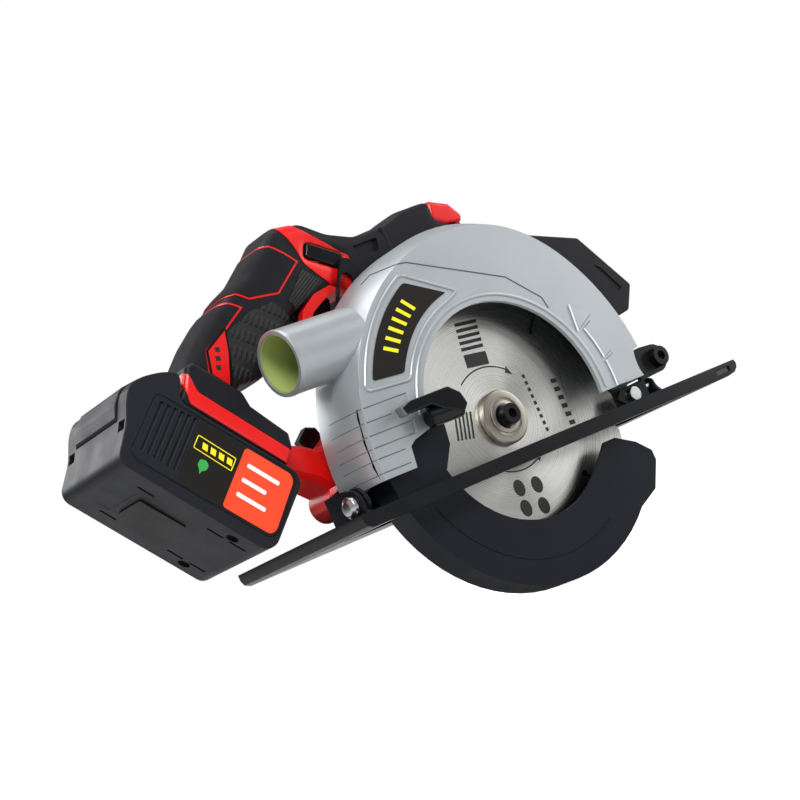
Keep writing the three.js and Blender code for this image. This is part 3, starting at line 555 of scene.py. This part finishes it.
def around_rim(tree, x_end, z):
    """A level path on the guard, from the face round its rear rim."""
    out = []
    axis = Vector((-84, -38, z))
    for step in range(-50, 101, 3):
        a = math.radians(step)
        reach = Vector((-math.sin(a), -math.cos(a), 0))
        hit = tree.ray_cast((axis + reach * 90) * MM, -reach)[0]
        if hit is None or hit.x / MM > x_end or hit.y / MM > -33:
            continue
        sunk = hit - reach * 0.35 * MM
        if not out or (sunk - out[-1]).length < 6 * MM:
            out.append(sunk)
    return out


place(guard, "saw_head", "silver_casting", "upper_guard")
# dark beads along the guard's grooves are painted groove shade; the grooves are not cut
for index, (end_x, end_z) in enumerate(GROOVE_ENDS):
    path = around_rim(guard_tree, end_x, end_z)
    place(bead(f"guard_groove_shade_{index}", path, 0.5, groove_shade, 6), "saw_head", "silver_casting")
# a dark bead along the facet step of the guard face: painted shade where the facet turns
FACET_LINE = [(-60, 122), (-48.5, 127.3), (-40, 126.5), (-31.5, 125.8), (31, 100.7), (50, 83), (51.5, 76)]
place(bead("guard_facet_shade", draped(guard_tree, FACET_LINE), 0.42, groove_shade, 6), "saw_head", "silver_casting")
LEDGES = [(-68.2, 58.5, -69.9, 52.4), (-71.4, 44.0, -72.8, 37.8)]
for index, (x0, z0, x1, z1) in enumerate(LEDGES):
    bar = [(x0 - 1.3, z0), (x0 + 0.9, z0), (x1 + 0.9, z1), (x1 - 1.3, z1)]
    ledge = prism(f"guard_ledge_{index}", bar, FACE_Y - 0.9, FACE_Y + 0.4, silver, edge=0.4)
    place(ledge, "saw_head", "silver_casting")

opening_rim = arc(67.6, -5.5, 166, 60)
ring_path = [ABOUT_SPINDLE.at(u, v, FACE_Y + 0.4) for u, v in opening_rim]
place(bead("opening_bead", ring_path, 1.25, silver, sides=10), "saw_head", "silver_casting")

LABEL_PLATE = arc(95.7, 114.5, 153.8, 14) + arc(76, 147.5, 101, 16)
plate_outline = rounded(LABEL_PLATE, 3.0)
bead_outline = rounded(inset(LABEL_PLATE, -4.5), 4.0)
frame_path = [ABOUT_SPINDLE.at(u, v, FACE_Y + 0.1) for u, v in resampled(bead_outline, 2.0, True)]
place(bead("label_frame", frame_path, 1.0, silver, sides=10, closed=True), "saw_head", "silver_casting")
place(prism("label_plate", plate_outline, FACE_Y - 0.5, FACE_Y + 0.8, label_black, ABOUT_SPINDLE, 0.25),
      "saw_head", "label", "guard_label")
BAR_RADIUS, BAR_LEAN, BAR_HALF = 86.2, 2.2, 4.6
for index in range(6):
    angle = 140.5 - index * 4.1
    middle = Vector(polar(BAR_RADIUS, angle))
    along = Vector(polar(1.0, angle - 90))
    across = -Vector(polar(1.0, angle))
    bar = [middle - along * BAR_LEAN - across * BAR_HALF, middle - across * BAR_HALF,
           middle + along * BAR_LEAN + across * BAR_HALF, middle + across * BAR_HALF]
    mark = prism(f"label_bar_{index}", [tuple(p) for p in bar], FACE_Y - 0.62, FACE_Y - 0.45, yellow_ink,
                 ABOUT_SPINDLE)
    place(mark, "saw_head", "label")

ARROW_PARTS = [
    [polar(80.6, 34.1), polar(88.0, 24.3), polar(70.9, 24.0)],
    arc(84.3, 22.7, 8.6, 6) + arc(75.8, 7.2, 22.7, 6),
    arc(84.4, 6.9, -5.8, 6) + arc(76.0, -6.2, 6.0, 6),
]
for index, outline in enumerate(ARROW_PARTS):
    relief = prism(f"arrow_relief_{index}", outline, FACE_Y - 0.55, FACE_Y + 0.6, silver, ABOUT_SPINDLE, 0.35)
    place(relief, "saw_head", "silver_casting")
    # a dark bead round the foot of the arrow relief: painted shade
    foot_shade_path = [ABOUT_SPINDLE.at(u, v, FACE_Y + 0.1) for u, v in
                 resampled(rounded(outline, 1.2, 4), 2.0, True)]
    place(bead(f"arrow_foot_shade_{index}", foot_shade_path, 0.28, groove_shade, 6, True), "saw_head", "silver_casting")
    # near-white beads along the arrow's lit edges: painted highlight
    lit = [outline[2], outline[0]] if index == 0 else outline[7:]
    highlight_path = [ABOUT_SPINDLE.at(u, v, FACE_Y - 0.6) for u, v in resampled(lit, 2.0)]
    place(bead(f"arrow_highlight_{index}", highlight_path, 0.5, edge_highlight, 8), "saw_head", "silver_casting")

# dust port lining and lip
port = (-124, -40, 98)
LINING = [(15.2, 0.6), (16.3, 0.6), (16.3, 34), (15.2, 34)]
lining = turned("dust_port_lining", LINING, port, olive, axis="X")
place(lining, "saw_head", "silver_casting")
LIP = [(16.4, 0.2), (17.0, 0.0), (17.8, 0.3), (18.2, 1.2), (18.2, 2.4), (17.6, 2.6), (16.4, 2.4)]
lip = turned("dust_port_lip", LIP, port, silver, axis="X")
place(lip, "saw_head", "silver_casting")

# bumper
BUMPER = [(66, 123.7), (108.3, 110.9), (133, 74.3), (123, 60.2), (112, 58.6)]
inner_edge = [(u + SPINDLE_X, v + SPINDLE_Z) for u, v in arc(106, 17, 55, 10)]
bumper = prism("guard_bumper_moulding", BUMPER + inner_edge, -46.5, -25, bumper_look, edge=1.6, segments=3)
BUMPER_RECESS = [(110.4, 92.4), (114.7, 89.9), (124.4, 74.0), (120.6, 72.7)]
cut(bumper, prism("bumper_recess", rounded(BUMPER_RECESS, 1.0), -48, -45.6))
place(bumper, "saw_head", "grip_rubber", "guard_bumper")

# ------------------------------------------------------------------ blade, flange and bolt
BLADE_NEAR, BLADE_FAR = -41.0, -39.0
TEETH = 24
KERF_ANGLES = (41.0, 131.0, 221.0, 311.0)
KERF_ROOT, KERF_HALF, KERF_EYE = 61.5, 0.55, 1.9
TOOTH = [(89.6, 0), (88.6, 1.6), (86.4, 4.6), (85.4, 8.2), (80.6, 11.2), (80.2, 13.0), (83.4, 14.4)]
TIP = [(89.9, 0.1), (89.2, 1.4), (84.4, 0.9), (84.2, -0.5)]
outline = []
for tooth in range(TEETH):
    start = 360 * tooth / TEETH
    outline += [polar(radius, start + turn) for radius, turn in TOOTH]
blade = prism("blade_plate", outline, BLADE_NEAR, BLADE_FAR, blade_steel, ABOUT_SPINDLE)
for index, angle in enumerate(KERF_ANGLES):
    near_hole, rim = polar(KERF_ROOT, angle), polar(92, angle)
    across = polar(KERF_HALF, angle + 90)
    kerf = [(near_hole[0] - across[0], near_hole[1] - across[1]), (rim[0] - across[0], rim[1] - across[1]),
            (rim[0] + across[0], rim[1] + across[1]), (near_hole[0] + across[0], near_hole[1] + across[1])]
    eye = oval(*near_hole, KERF_EYE, KERF_EYE, 16)
    through = (BLADE_NEAR - 2, BLADE_FAR + 2)
    cut(blade, prism(f"kerf_{index}", kerf, *through, plane=ABOUT_SPINDLE),
        prism(f"eye_{index}", eye, *through, plane=ABOUT_SPINDLE))
place(blade, "arbor", "bright_steel", "saw_blade")
for tooth in range(TEETH):
    start = 360 * tooth / TEETH
    tip = [polar(radius, start + turn) for radius, turn in TIP]
    carbide_tip = prism(f"tooth_{tooth:02d}", tip, BLADE_NEAR - 0.25, BLADE_FAR + 0.25, carbide, ABOUT_SPINDLE)
    place(carbide_tip, "arbor", "bright_steel")

INK_Y = (BLADE_NEAR - 0.06, BLADE_NEAR + 0.1)


def ink(name, outline):
    """A flat printed mark on the near face of the blade, drawn about the spindle."""
    return place(prism(name, outline, *INK_Y, black_ink, ABOUT_SPINDLE), "arbor", "bright_steel")


def ink_arc(name, radius, start, end, width=0.9):
    ink(name, arc(radius + width / 2, start, end, 28) + arc(radius - width / 2, end, start, 28))


def tile(corner, across, up, u0, v0, u1, v1):
    """A small rectangle inside a leaning box given by its corner and two sides."""
    corner, across, up = Vector(corner), Vector(across), Vector(up)
    return [tuple(corner + across * u + up * v) for u, v in ((u0, v0), (u1, v0), (u1, v1), (u0, v1))]


ink_arc("blade_arrow_upper", 30.5, 54, 124)
ink("blade_arrow_upper_head", [polar(32.6, 55), polar(28.4, 55), polar(29.4, 45)])
ink_arc("blade_arrow_lower", 31, -121, -66)
ink("blade_arrow_lower_head", [polar(33.1, -67), polar(28.9, -67), polar(31, -57)])
PATCH_CORNER, PATCH_ACROSS, PATCH_UP = (-6.8, 42.3), (16.9, -1.4), (3.6, 17.9)
for index in range(5):
    v0 = 0.02 + index * 0.2
    ink(f"blade_patch_{index}", tile(PATCH_CORNER, PATCH_ACROSS, PATCH_UP, 0.0, v0, 0.96, v0 + 0.11))
ink("blade_tab", rounded(tile((-7.9, 32.8), (16.3, -1.8), (1.2, 7.7), 0, 0, 1, 1), 0.8))
for index in range(5):
    u0 = 0.02 + index * 0.2
    ink(f"blade_grain_{index}", tile((-36.0, -2.6), (13.4, -2.4), (5.4, 14.6), u0, 0, u0 + 0.1, 1))
for index, (u, v) in enumerate([(-9.0, -39.5), (3.9, -41.6), (-10.4, -51.2), (2.3, -53.8)]):
    ink(f"blade_oval_{index}", oval(u, v, 4.0, 4.9))
for index in range(9):
    v = 18.6 - index * 4.1
    ink(f"blade_tick_{index}", [(26.8, v), (29.0, v), (29.0, v - 2.2), (26.8, v - 2.2)])
for index in range(6):
    v = 10.5 - index * 5.2
    ink(f"blade_dash_{index}", [(45.6, v), (50.0, v - 0.4), (49.8, v - 3.0), (45.4, v - 2.6)])

flange = turned("clamp_flange", [
    (4.8, -41.3), (15.2, -41.3), (15.75, -41.8), (15.75, -44.2), (15.2, -44.9), (14.3, -45.2), (11.2, -45.3),
    (10.8, -44.8), (9.9, -44.7), (9.5, -45.3), (7.4, -45.6), (6.2, -45.0), (4.8, -44.8)],
    (SPINDLE_X, 0, SPINDLE_Z), nickel, 72)
place(flange, "arbor", "bright_steel", "outer_flange")
bolt = refined("blade_bolt", black_oxide, 0.35, 2)
place(bolt, "arbor", "black_steel", "blade_bolt")

# ------------------------------------------------------------------ lower guard
lower = refined("lower_guard", guard_black, 0.9, 3)
lower_tree = tree_of(lower)
crease = draped(lower_tree, [(u, v + SPINDLE_Z) for u, v in arc(83, -66, -158, 40)])
place(lower, "lower_guard", "guard_black", "lower_guard")
place(bead("guard_crease", crease, 0.45, black_plastic, 6), "lower_guard", "guard_black")
LEVER_ARM = [(-84.5, 51.4), (-83.1, 46.8), (-64.6, 47.3), (-58, 42.5), (-46, 37.5), (-41.7, 41.2),
             (-43.4, 48.2), (-49.8, 53.5), (-76.5, 53.3)]
arm = prism("guard_lever_arm", LEVER_ARM, -69.8, -63.0, gloss_black, edge=1.1, segments=3)
place(arm, "lower_guard", "black_plastic", "guard_lever")
LEVER_PAD = [(-85.6, 52.0), (-84.2, 46.6), (-79.5, 46.6), (-80.5, 52.9)]
pad = prism("guard_lever_pad", LEVER_PAD, -69.4, -63.6, grey_pad, edge=0.8)
place(pad, "lower_guard", "black_plastic")
LEVER_DRUM = [(0.0, 0.0), (4.2, 0.0), (5.2, 1.0), (5.2, 22.0), (4.2, 23.0), (2.0, 23.0), (1.8, 21.0),
              (0.0, 21.0)]
drum = turned("guard_lever_drum", LEVER_DRUM, (-67, -64.4, 41.0), gloss_black, 32, "X")
place(drum, "lower_guard", "black_plastic")
LEVER_POST = [(0.0, -64.0), (5.7, -64.0), (5.7, -52.0), (0.0, -52.0)]
post = turned("guard_lever_post", LEVER_POST, (-55, 0, 44.5), gloss_black, 32)
place(post, "lower_guard", "black_plastic")

# ------------------------------------------------------------------ base, hinges, brackets
stand_in("base_plate", "base", "black_steel", black_steel, 0.7, 2)
SHOE_TOP = Plane((0, 0, 0), (1, 0, 0), (0, 1, 0), (0, 0, 1))
TICK_END = 163
for index in range(15):
    y = -56 + index * 8
    length = 8 if index % 5 == 0 else 5
    tick = [(TICK_END - length, y - 0.3), (TICK_END, y - 0.3),
            (TICK_END, y + 0.3), (TICK_END - length, y + 0.3)]
    place(prism(f"shoe_tick_{index:02d}", tick, 1.9, 2.06, white_ink, SHOE_TOP), "base", "label")
for node in ("tilt_quadrant", "rear_hinge_plate"):
    stand_in(node, "base", "black_steel", black_steel, 0.4)
for node in ("base_bolt_front_near", "base_bolt_front_far", "base_bolt_rear_near", "base_bolt_rear_far"):
    stand_in(node, "base", "bright_steel", bright_steel, 0.3)
stand_in("tilt_bracket", "tilt_carriage", "black_steel", black_steel, 0.45)
DEPTH_X, DEPTH_Z = 119.8, 27.2
shoulder = [(DEPTH_X + u, DEPTH_Z + v) for u, v in arc(200.5, 157, 137, 16) + arc(222, 137, 157, 16)]
stand_in("depth_quadrant", "tilt_carriage", "black_steel", black_steel, 0.45,
         cutters=[prism("shoulder", shoulder, -40, 0)])
for node in ("tilt_pin_front", "tilt_pin_rear", "tilt_clamp_bolt", "bracket_rivet"):
    stand_in(node, "tilt_carriage", "bright_steel", bright_steel, 0.3)
for node in ("depth_pivot_bolt", "depth_pivot_nut"):
    stand_in(node, "tilt_carriage", "black_steel", black_oxide, 0.35)
stand_in("tilt_lever", "tilt_lever", "black_plastic", gloss_black, 0.8)
stand_in("depth_lever", "depth_lever", "black_plastic", gloss_black, 0.9)

# ------------------------------------------------------------------ gearbox and motor
stand_in("gearbox_housing", "saw_head", "silver_casting", silver, 0.8, 3)
motor = refined("motor_housing", red_plastic, 1.6, 3)
motor_rings = []
for index, y in enumerate((12.0, 44.0)):
    groove = [(36.3, y), (38.0, y), (38.0, y + 1.1), (36.3, y + 1.1)]
    motor_rings.append(turned(f"motor_ring_{index}", groove, (MOTOR_X, 0, MOTOR_Z), steps=72))
motor_vents = []
for start in (-24, 66, 156):
    for index in range(5):
        angle = start + index * 11
        vent = [polar(34.6, angle - 2), polar(40, angle - 2), polar(40, angle + 2), polar(34.6, angle + 2)]
        motor_vents.append(prism(f"motor_vent_{start}_{index}", vent, 22, 38, plane=ABOUT_MOTOR))
cut(motor, *motor_rings, *motor_vents)
place(motor, "saw_head", "red_plastic", "motor_housing")
end_cap = refined("motor_end_cap", black_plastic, 0.9, 2)
place(end_cap, "saw_head", "black_plastic", "motor_end_cap")
for index in range(3):
    cx, cz = polar(27.5, 30 + 120 * index)
    head = turned(f"end_screw_{index}", [(0.0, 73.0), (2.6, 73.0), (2.6, 75.2), (2.1, 75.6), (0.0, 75.7)],
                  (MOTOR_X + cx, 0, MOTOR_Z + cz), bright_steel, 24)
    place(head, "saw_head", "bright_steel")

# ------------------------------------------------------------------ handle
def fused(name, nodes, voxel, passes, look):
    """One soft-edged moulding from several CAD nodes."""
    bm = bmesh.new()
    for index, node in enumerate(nodes):
        part = bmesh.new()
        part.from_mesh(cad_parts[node].data)
        toward = Vector((0, 0.25 * MM if index == 0 else -0.25 * MM, 0))
        bmesh.ops.translate(part, vec=toward, verts=part.verts)
        held = bpy.data.meshes.new("held")
        part.to_mesh(held)
        part.free()
        bm.from_mesh(held)
        bpy.data.meshes.remove(held)
    bmesh.ops.remove_doubles(bm, verts=bm.verts, dist=2e-6)
    made = add(name, bm, look)
    remesh = made.modifiers.new("remesh", "REMESH")
    remesh.mode = "VOXEL"
    remesh.voxel_size = voxel * MM
    bake(made)
    relax = made.modifiers.new("relax", "SMOOTH")
    relax.factor = 0.5
    relax.iterations = passes
    return bake(made)


VOXEL, RELAX_PASSES = 1.3, 24
handle = fused("handle_body", ["handle_shell_near", "handle_shell_far"], VOXEL, RELAX_PASSES, black_plastic)

UPPER_PANEL = [(-128, 147), (-118, 168), (-98, 176), (-88, 168.2), (-81.1, 165.4), (-73.7, 158.8),
               (-67.4, 152), (-88.3, 137.8), (-108.3, 139.7), (-114.5, 144.6)]
LOWER_PANEL = [(-136, 152), (-129.5, 144.2), (-121.2, 142.2), (-114.2, 136.8), (-129.9, 127.7),
               (-146.2, 120.3), (-150.6, 107), (-158, 99), (-176, 112), (-158, 140)]
DIAMOND = [(-131.1, 128), (-134.5, 115.9), (-141.9, 98.6), (-149.6, 107.6), (-146.2, 120.1)]
HATCH = [(-130.5, 126.3), (-111.8, 133.4), (-94.8, 134.9), (-87, 124), (-84, 116), (-118, 92), (-141.4, 92),
         (-134, 113.3)]
RIB_PATCH = [(-67.3, 147.3), (-57.5, 137.5), (-79.5, 127), (-84.4, 132.5)]
LOCK_FRAME = [(-73, 182), (-70.5, 171.5), (-66.8, 163.5), (-65, 156), (-64.5, 150), (-57, 139.5),
              (-49.5, 131.8), (-50, 126), (-40, 128), (-34, 143.7), (-33.5, 147), (-43, 156), (-53, 165),
              (-60, 172), (-62, 184)]

panels = [
    ("grip_upper_line", UPPER_PANEL, 0.25, red_plastic, "red_plastic"),
    ("grip_upper_panel", inset(UPPER_PANEL, 1.2), 0.6, grip_rubber, "grip_rubber"),
    ("grip_lower_line", LOWER_PANEL, 0.25, red_plastic, "red_plastic"),
    ("grip_lower_panel", inset(LOWER_PANEL, 1.2), 0.6, grip_rubber, "grip_rubber"),
    ("grip_insert_edge", inset(DIAMOND, -0.9), 0.7, gloss_black, "black_plastic"),
    ("grip_insert", inset(DIAMOND, 0.3), 1.0, red_plastic, "red_plastic"),
    ("grip_hatch_patch", HATCH, 0.5, hatch_rubber, "grip_rubber"),
    ("grip_rib_patch", RIB_PATCH, 0.4, rib_rubber, "grip_rubber"),
    ("lock_off_frame", rounded(LOCK_FRAME, 3.0, 3), 0.55, red_plastic, "red_plastic"),
]
for name, shape, lift, look, slot in panels:
    place(raised(handle, name, shape, lift, look), "saw_head", slot, sharp=40)
for index, (x, z) in enumerate([(-140.6, 119.2), (-142.4, 114.6), (-144.4, 109.9)]):
    size = 1.6
    square = [(x - size, z - size * 0.6), (x + size * 0.7, z - size),
              (x + size, z + size * 0.6), (x - size * 0.7, z + size)]
    place(raised(handle, f"grip_hole_{index}", square, 1.15, black_ink), "saw_head", "black_plastic", sharp=40)
HANDLE_RECESS = rounded([(-28.1, 151.5), (-8.9, 152.4), (-11, 144.6), (-25.9, 145.8)], 1.5)
cut(handle, prism("recess", HANDLE_RECESS, -30, -14.6), prism("recess_far", HANDLE_RECESS, 14.6, 30))
place(handle, "saw_head", "black_plastic", "handle_shell_near", "handle_shell_far", sharp=45)
for side, label in ((-1, "near"), (1, "far")):
    strip = rounded([(-55.5, 136.3), (-48.8, 131.5), (-61.7, 126.8), (-71.3, 122.2), (-75, 115.4),
                     (-81, 117.1), (-76.5, 125.6), (-63, 134)], 2.0)
    rail = prism(f"trigger_rail_{label}", strip, side * 9.5, side * 15.6, red_plastic, edge=1.2, segments=3)
    place(rail, "saw_head", "red_plastic")
    ridge = [Vector((x, side * 15.6, z)) * MM for x, z in ((-2.7, 157.0), (-2.2, 151.0), (-2.8, 144.6))]
    place(bead(f"handle_ridge_{label}", ridge, 1.5, black_plastic, 10), "saw_head", "black_plastic")
stand_in("front_handle_cap", "saw_head", "red_plastic", red_plastic, 1.6, 3)
stand_in("trigger", "trigger", "black_plastic", black_plastic, 1.4, 3)
stand_in("lock_off_button", "lock_off", "black_plastic", gloss_black, 1.3, 3)
stand_in("spindle_lock_button", "spindle_lock", "black_plastic", gloss_black, 0.6)
for node in ("handle_screw_1", "handle_screw_2", "handle_screw_3"):
    stand_in(node, "saw_head", "bright_steel", bright_steel, 0.3)

# ------------------------------------------------------------------ battery foot and pack
foot = refined("battery_foot", black_plastic, 0.9, 2)
STRIPE = [(-2, -1.8), (-2, -9.2), (63.3, -9.8), (71.2, -16.2), (80, -16.6), (80, -12.2), (72.6, -11.4),
          (64.5, -2.0)]
stripe = raised(foot, "foot_stripe", rounded(STRIPE, 2.0, 3), 0.5, red_plastic, plane=PACK_SIDE)
place(stripe, "saw_head", "red_plastic", sharp=40)
place(foot, "saw_head", "black_plastic", "battery_foot")

PACK = [(-7.5, 5), (-3, 0.3), (70.4, 0.3), (73, -9), (76.5, -13.5), (84, -9.5), (92, -2), (97.4, 5.5),
        (96.6, 14), (91, 27), (88, 44), (84, 47.3), (-2, 48.5), (-7, 43)]
PACK_Y = 35.0
case = prism("battery_pack", rounded(PACK, 4.0, 3), -PACK_Y, PACK_Y, pack_plastic, PACK_SIDE, 4.2, 4)
LATCH = [(79, -13.2), (85, -10.0), (92.5, -3.2), (98.0, 5.5), (97.4, 15), (93.8, 22.8), (90.4, 21.5),
         (92.6, 14), (93, 7.2), (88.4, 0.6), (81.6, -6.2), (77.4, -9.6)]
LATCH_TRAVEL = 2.1
REAR_NOTCH = [(86, 24), (99, 24), (99, 31), (88.6, 29)]
pressed = [(u - LATCH_TRAVEL, v) for u, v in LATCH]
cut(case, prism("latch_pocket", inset(LATCH, -0.7), -24.6, 24.6, plane=PACK_SIDE),
    prism("latch_pocket_pressed", inset(pressed, -0.7), -24.6, 24.6, plane=PACK_SIDE),
    prism("pack_mouth", [(16, -5), (56, -5), (56, 6), (16, 6)], -20, 20, plane=PACK_SIDE),
    *[prism(f"rear_notch_{side}", REAR_NOTCH, side * 26, side * 33, plane=PACK_SIDE) for side in (-1, 1)])
RIB_PLACES = (78.2, 74.3, 70.4, 66.5, 62.6, 58.7)
PANEL = rounded([(83.0, 3.2), (83.4, 38.6), (79.5, 41.6), (-1.8, 41.4), (-5.4, 37.2), (-4.2, 5.0),
                (-0.8, 2.2)], 3.0)
tools = []
for side in (-1, 1):
    for index, along in enumerate(RIB_PLACES):
        path = [PACK_SIDE.at(along, away, side * PACK_Y) for away in (6.0 - 0.4 * index, 35.5)]
        tools.append(bead(f"rib_{side}_{index}", path, 1.25, sides=10))
    border = [PACK_SIDE.at(u, v, side * PACK_Y) for u, v in resampled(PANEL, 2.5, True)]
    tools.append(bead(f"border_{side}", border, 0.7, sides=6, closed=True))
BOTTOM = 48.6
for row, across in enumerate((-22, 22)):
    for column, along in enumerate((64, 22, 8)):
        slot_shape = [(along - 5, across - 0.9), (along + 5, across - 0.9),
                      (along + 5, across + 0.9), (along - 5, across + 0.9)]
        tools.append(prism(f"vent_{row}_{column}", slot_shape, BOTTOM - 2.2, BOTTOM + 3, plane=PACK_BOTTOM))
for index, across in enumerate((-26.5, 26.5)):
    hole = oval(14, across, 3.4, 3.4)
    tools.append(prism(f"screw_hole_{index}", hole, BOTTOM - 2.6, BOTTOM + 3, plane=PACK_BOTTOM))
STEP = [(66, -16), (90, -16), (90, 16), (66, 16)]
tools.append(prism("step", STEP, BOTTOM - 1.2, BOTTOM + 3, plane=PACK_BOTTOM))
cut(case, *tools)
place(case, "battery", "black_plastic", "battery_case")


def printed(name, outline, outer, proud, look):
    """A sheet or an ink mark on one side of the pack."""
    place(prism(name, outline, outer[0], outer[1] + proud, look, PACK_SIDE), "battery", "label")


SHEET = rounded([(55.8, 3.4), (55.8, 40.2), (-1.4, 40.0), (-4.2, 36.6), (-3.2, 5.2), (-0.6, 3.2)], 2.2)
PATCH = rounded([(28.4, 3.8), (0.0, 3.6), (-2.8, 6.6), (-3.6, 36.0), (-1.0, 39.6), (28.6, 39.8)], 2.4)
BOX = rounded([(54.2, 11.8), (54.2, 19.2), (31, 19.9), (31, 12.4)], 0.6, 2)
LEAF = rounded([(48.5, 23.0), (45.4, 22.0), (43.0, 24.0), (43.4, 27.0), (45.6, 28.6), (46.2, 31.0),
                (47.0, 28.6), (49.0, 26.4)], 1.0, 3)
for side, label in ((-1, "near"), (1, "far")):
    face = side * (PACK_Y + 0.1)
    sunk = (side * (PACK_Y - 0.3), face)
    flat = (face, face)
    printed(f"pack_label_{label}", SHEET, sunk, 0.0, label_black)
    printed(f"pack_patch_{label}", PATCH, sunk, side * 0.08, orange_sheet)
    for index, length in enumerate((20, 15, 18)):
        v = 11 + index * 8.6
        bar = rounded([(24, v), (24 - length, v), (24 - length, v + 2.4), (24, v + 2.4)], 0.8, 2)
        printed(f"pack_bar_{label}_{index}", bar, flat, side * 0.14, white_ink)
    box_path = [PACK_SIDE.at(u, v, face) for u, v in resampled(BOX, 2.0, True)]
    place(bead(f"pack_box_{label}", box_path, 0.3, yellow_ink, 6, True), "battery", "label")
    for index in range(4):
        u = 50.6 - index * 5.0
        mark = [(u, 14.0), (u - 3.2, 14.2), (u - 4.0, 17.6), (u - 0.8, 17.4)]
        printed(f"pack_mark_{label}_{index}", mark, flat, side * 0.1, yellow_ink)
    printed(f"pack_leaf_{label}", LEAF, flat, side * 0.1, green_ink)
rating = rounded([(62, -12), (62, 14), (34, 14), (34, -12)], 1.5)
rating_sheet = prism("pack_rating_label", rating, BOTTOM - 0.6, BOTTOM + 0.12, label_black, PACK_BOTTOM)
place(rating_sheet, "battery", "label")
latch = prism("battery_latch_panel", rounded(LATCH, 1.5, 2), -24, 24, pack_plastic, PACK_SIDE, 0.8, 2)
place(latch, "battery_latch", "black_plastic", "battery_latch")

# ------------------------------------------------------------------ what stays as the CAD solid
CARRIED = [ (bright_steel, ("spindle_bearing_front", "spindle_bearing_rear", "bearing_plate",
    "guard_return_spring", "stator", "motor_bearing_front", "motor_bearing_rear", "depth_clamp_bolt",
    "spindle", "drive_gear", "inner_flange", "rotor_shaft")), (copper, ("brush_upper", "brush_lower",
    "rotor_core", "commutator")), (black_plastic, ("switch_module", "cooling_fan")),
    (board, ("terminal_block",)), (cell_wrap, ("battery_cells",)), ]
for node, look in [(node, look) for look, nodes in CARRIED for node in nodes]:
    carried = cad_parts[node]
    if carried.material_slots:
        for entry in carried.material_slots:
            entry.link = "OBJECT"
            entry.material = look.material
    else:
        carried.data.materials.append(look.material)

# ------------------------------------------------------------------ floor, light and camera
floor_z = cad_lo.z - 0.0005
bm = bmesh.new()
FLOOR_REACH = 60.0
corners = ((-FLOOR_REACH, -FLOOR_REACH), (FLOOR_REACH, -FLOOR_REACH), (FLOOR_REACH, FLOOR_REACH),
           (-FLOOR_REACH, FLOOR_REACH))
bm.faces.new([bm.verts.new((x, y, floor_z)) for x, y in corners])
floor_look = Finish("pale_floor")
floor_cloud = floor_look.noise(3.0, 2.0)
floor_look.drive("Base Color", floor_look.mix(floor_cloud, (0.58, 0.58, 0.58, 1), (0.6, 0.6, 0.6, 1)))
floor_look.drive("Roughness", 0.9)
floor_look.drive("Specular IOR Level", 0.1)
floor_look.drive("Emission Color", (1, 1, 1, 1))
seen = floor_look.node("ShaderNodeLightPath").outputs["Is Camera Ray"]
floor_look.drive("Emission Strength", floor_look.spread(seen, 0.1, 1.0, 0.0, 1.0))
floor = add("floor", bm, floor_look)

world = bpy.data.worlds.new("studio")
bpy.context.scene.world = world
world.use_nodes = True
background = world.node_tree.nodes["Background"]
paths = world.node_tree.nodes.new("ShaderNodeLightPath")
level = world.node_tree.nodes.new("ShaderNodeMapRange")
level.inputs["To Min"].default_value = 0.32
level.inputs["To Max"].default_value = 1.0
world.node_tree.links.new(paths.outputs["Is Camera Ray"], level.inputs["Value"])
world.node_tree.links.new(level.outputs["Result"], background.inputs["Strength"])
background.inputs["Color"].default_value = (1, 1, 1, 1)


def soft_light(name, place_at, target, size, power):
    lamp = bpy.data.lights.new(name, "AREA")
    lamp.shape = "RECTANGLE"
    lamp.size, lamp.size_y = size
    lamp.energy = power
    made = bpy.data.objects.new(name, lamp)
    bpy.context.scene.collection.objects.link(made)
    made.location = place_at
    made.rotation_euler = (Vector(target) - Vector(place_at)).to_track_quat("-Z", "Y").to_euler()
    made.visible_camera = False


soft_light("key", (-0.75, -1.1, 1.15), (-0.03, -0.03, 0.05), (0.8, 0.5), 23)
soft_light("top", (0.1, 0.1, 1.4), (0, 0, 0.05), (1.2, 0.8), 11)
soft_light("fill", (1.3, -0.7, 0.5), (0, 0, 0.05), (0.8, 1.0), 7)
soft_light("side_panel", (-1.5, 0.32, 0.2), (-0.1, -0.04, 0.06), (0.35, 1.0), 2)
soft_light("back", (-0.5, 1.2, 0.8), (0, 0, 0.08), (1.0, 0.7), 9)

camera = bpy.data.cameras.new("camera")
camera.lens = 87.94
camera.sensor_width = 36.0
camera.clip_start, camera.clip_end = 0.01, 200
viewer = bpy.data.objects.new("camera", camera)
bpy.context.scene.collection.objects.link(viewer)
CAMERA_PLACE = (-0.7158, -0.8624, -0.0205)
CAMERA_TURN = (94.683, 23.937, -36.666)  # degrees about x, y and z
viewer.location = CAMERA_PLACE
viewer.rotation_euler = [math.radians(turn) for turn in CAMERA_TURN]
bpy.context.scene.camera = viewer
bpy.context.scene.view_settings.view_transform = "Standard"

bpy.context.view_layer.update()
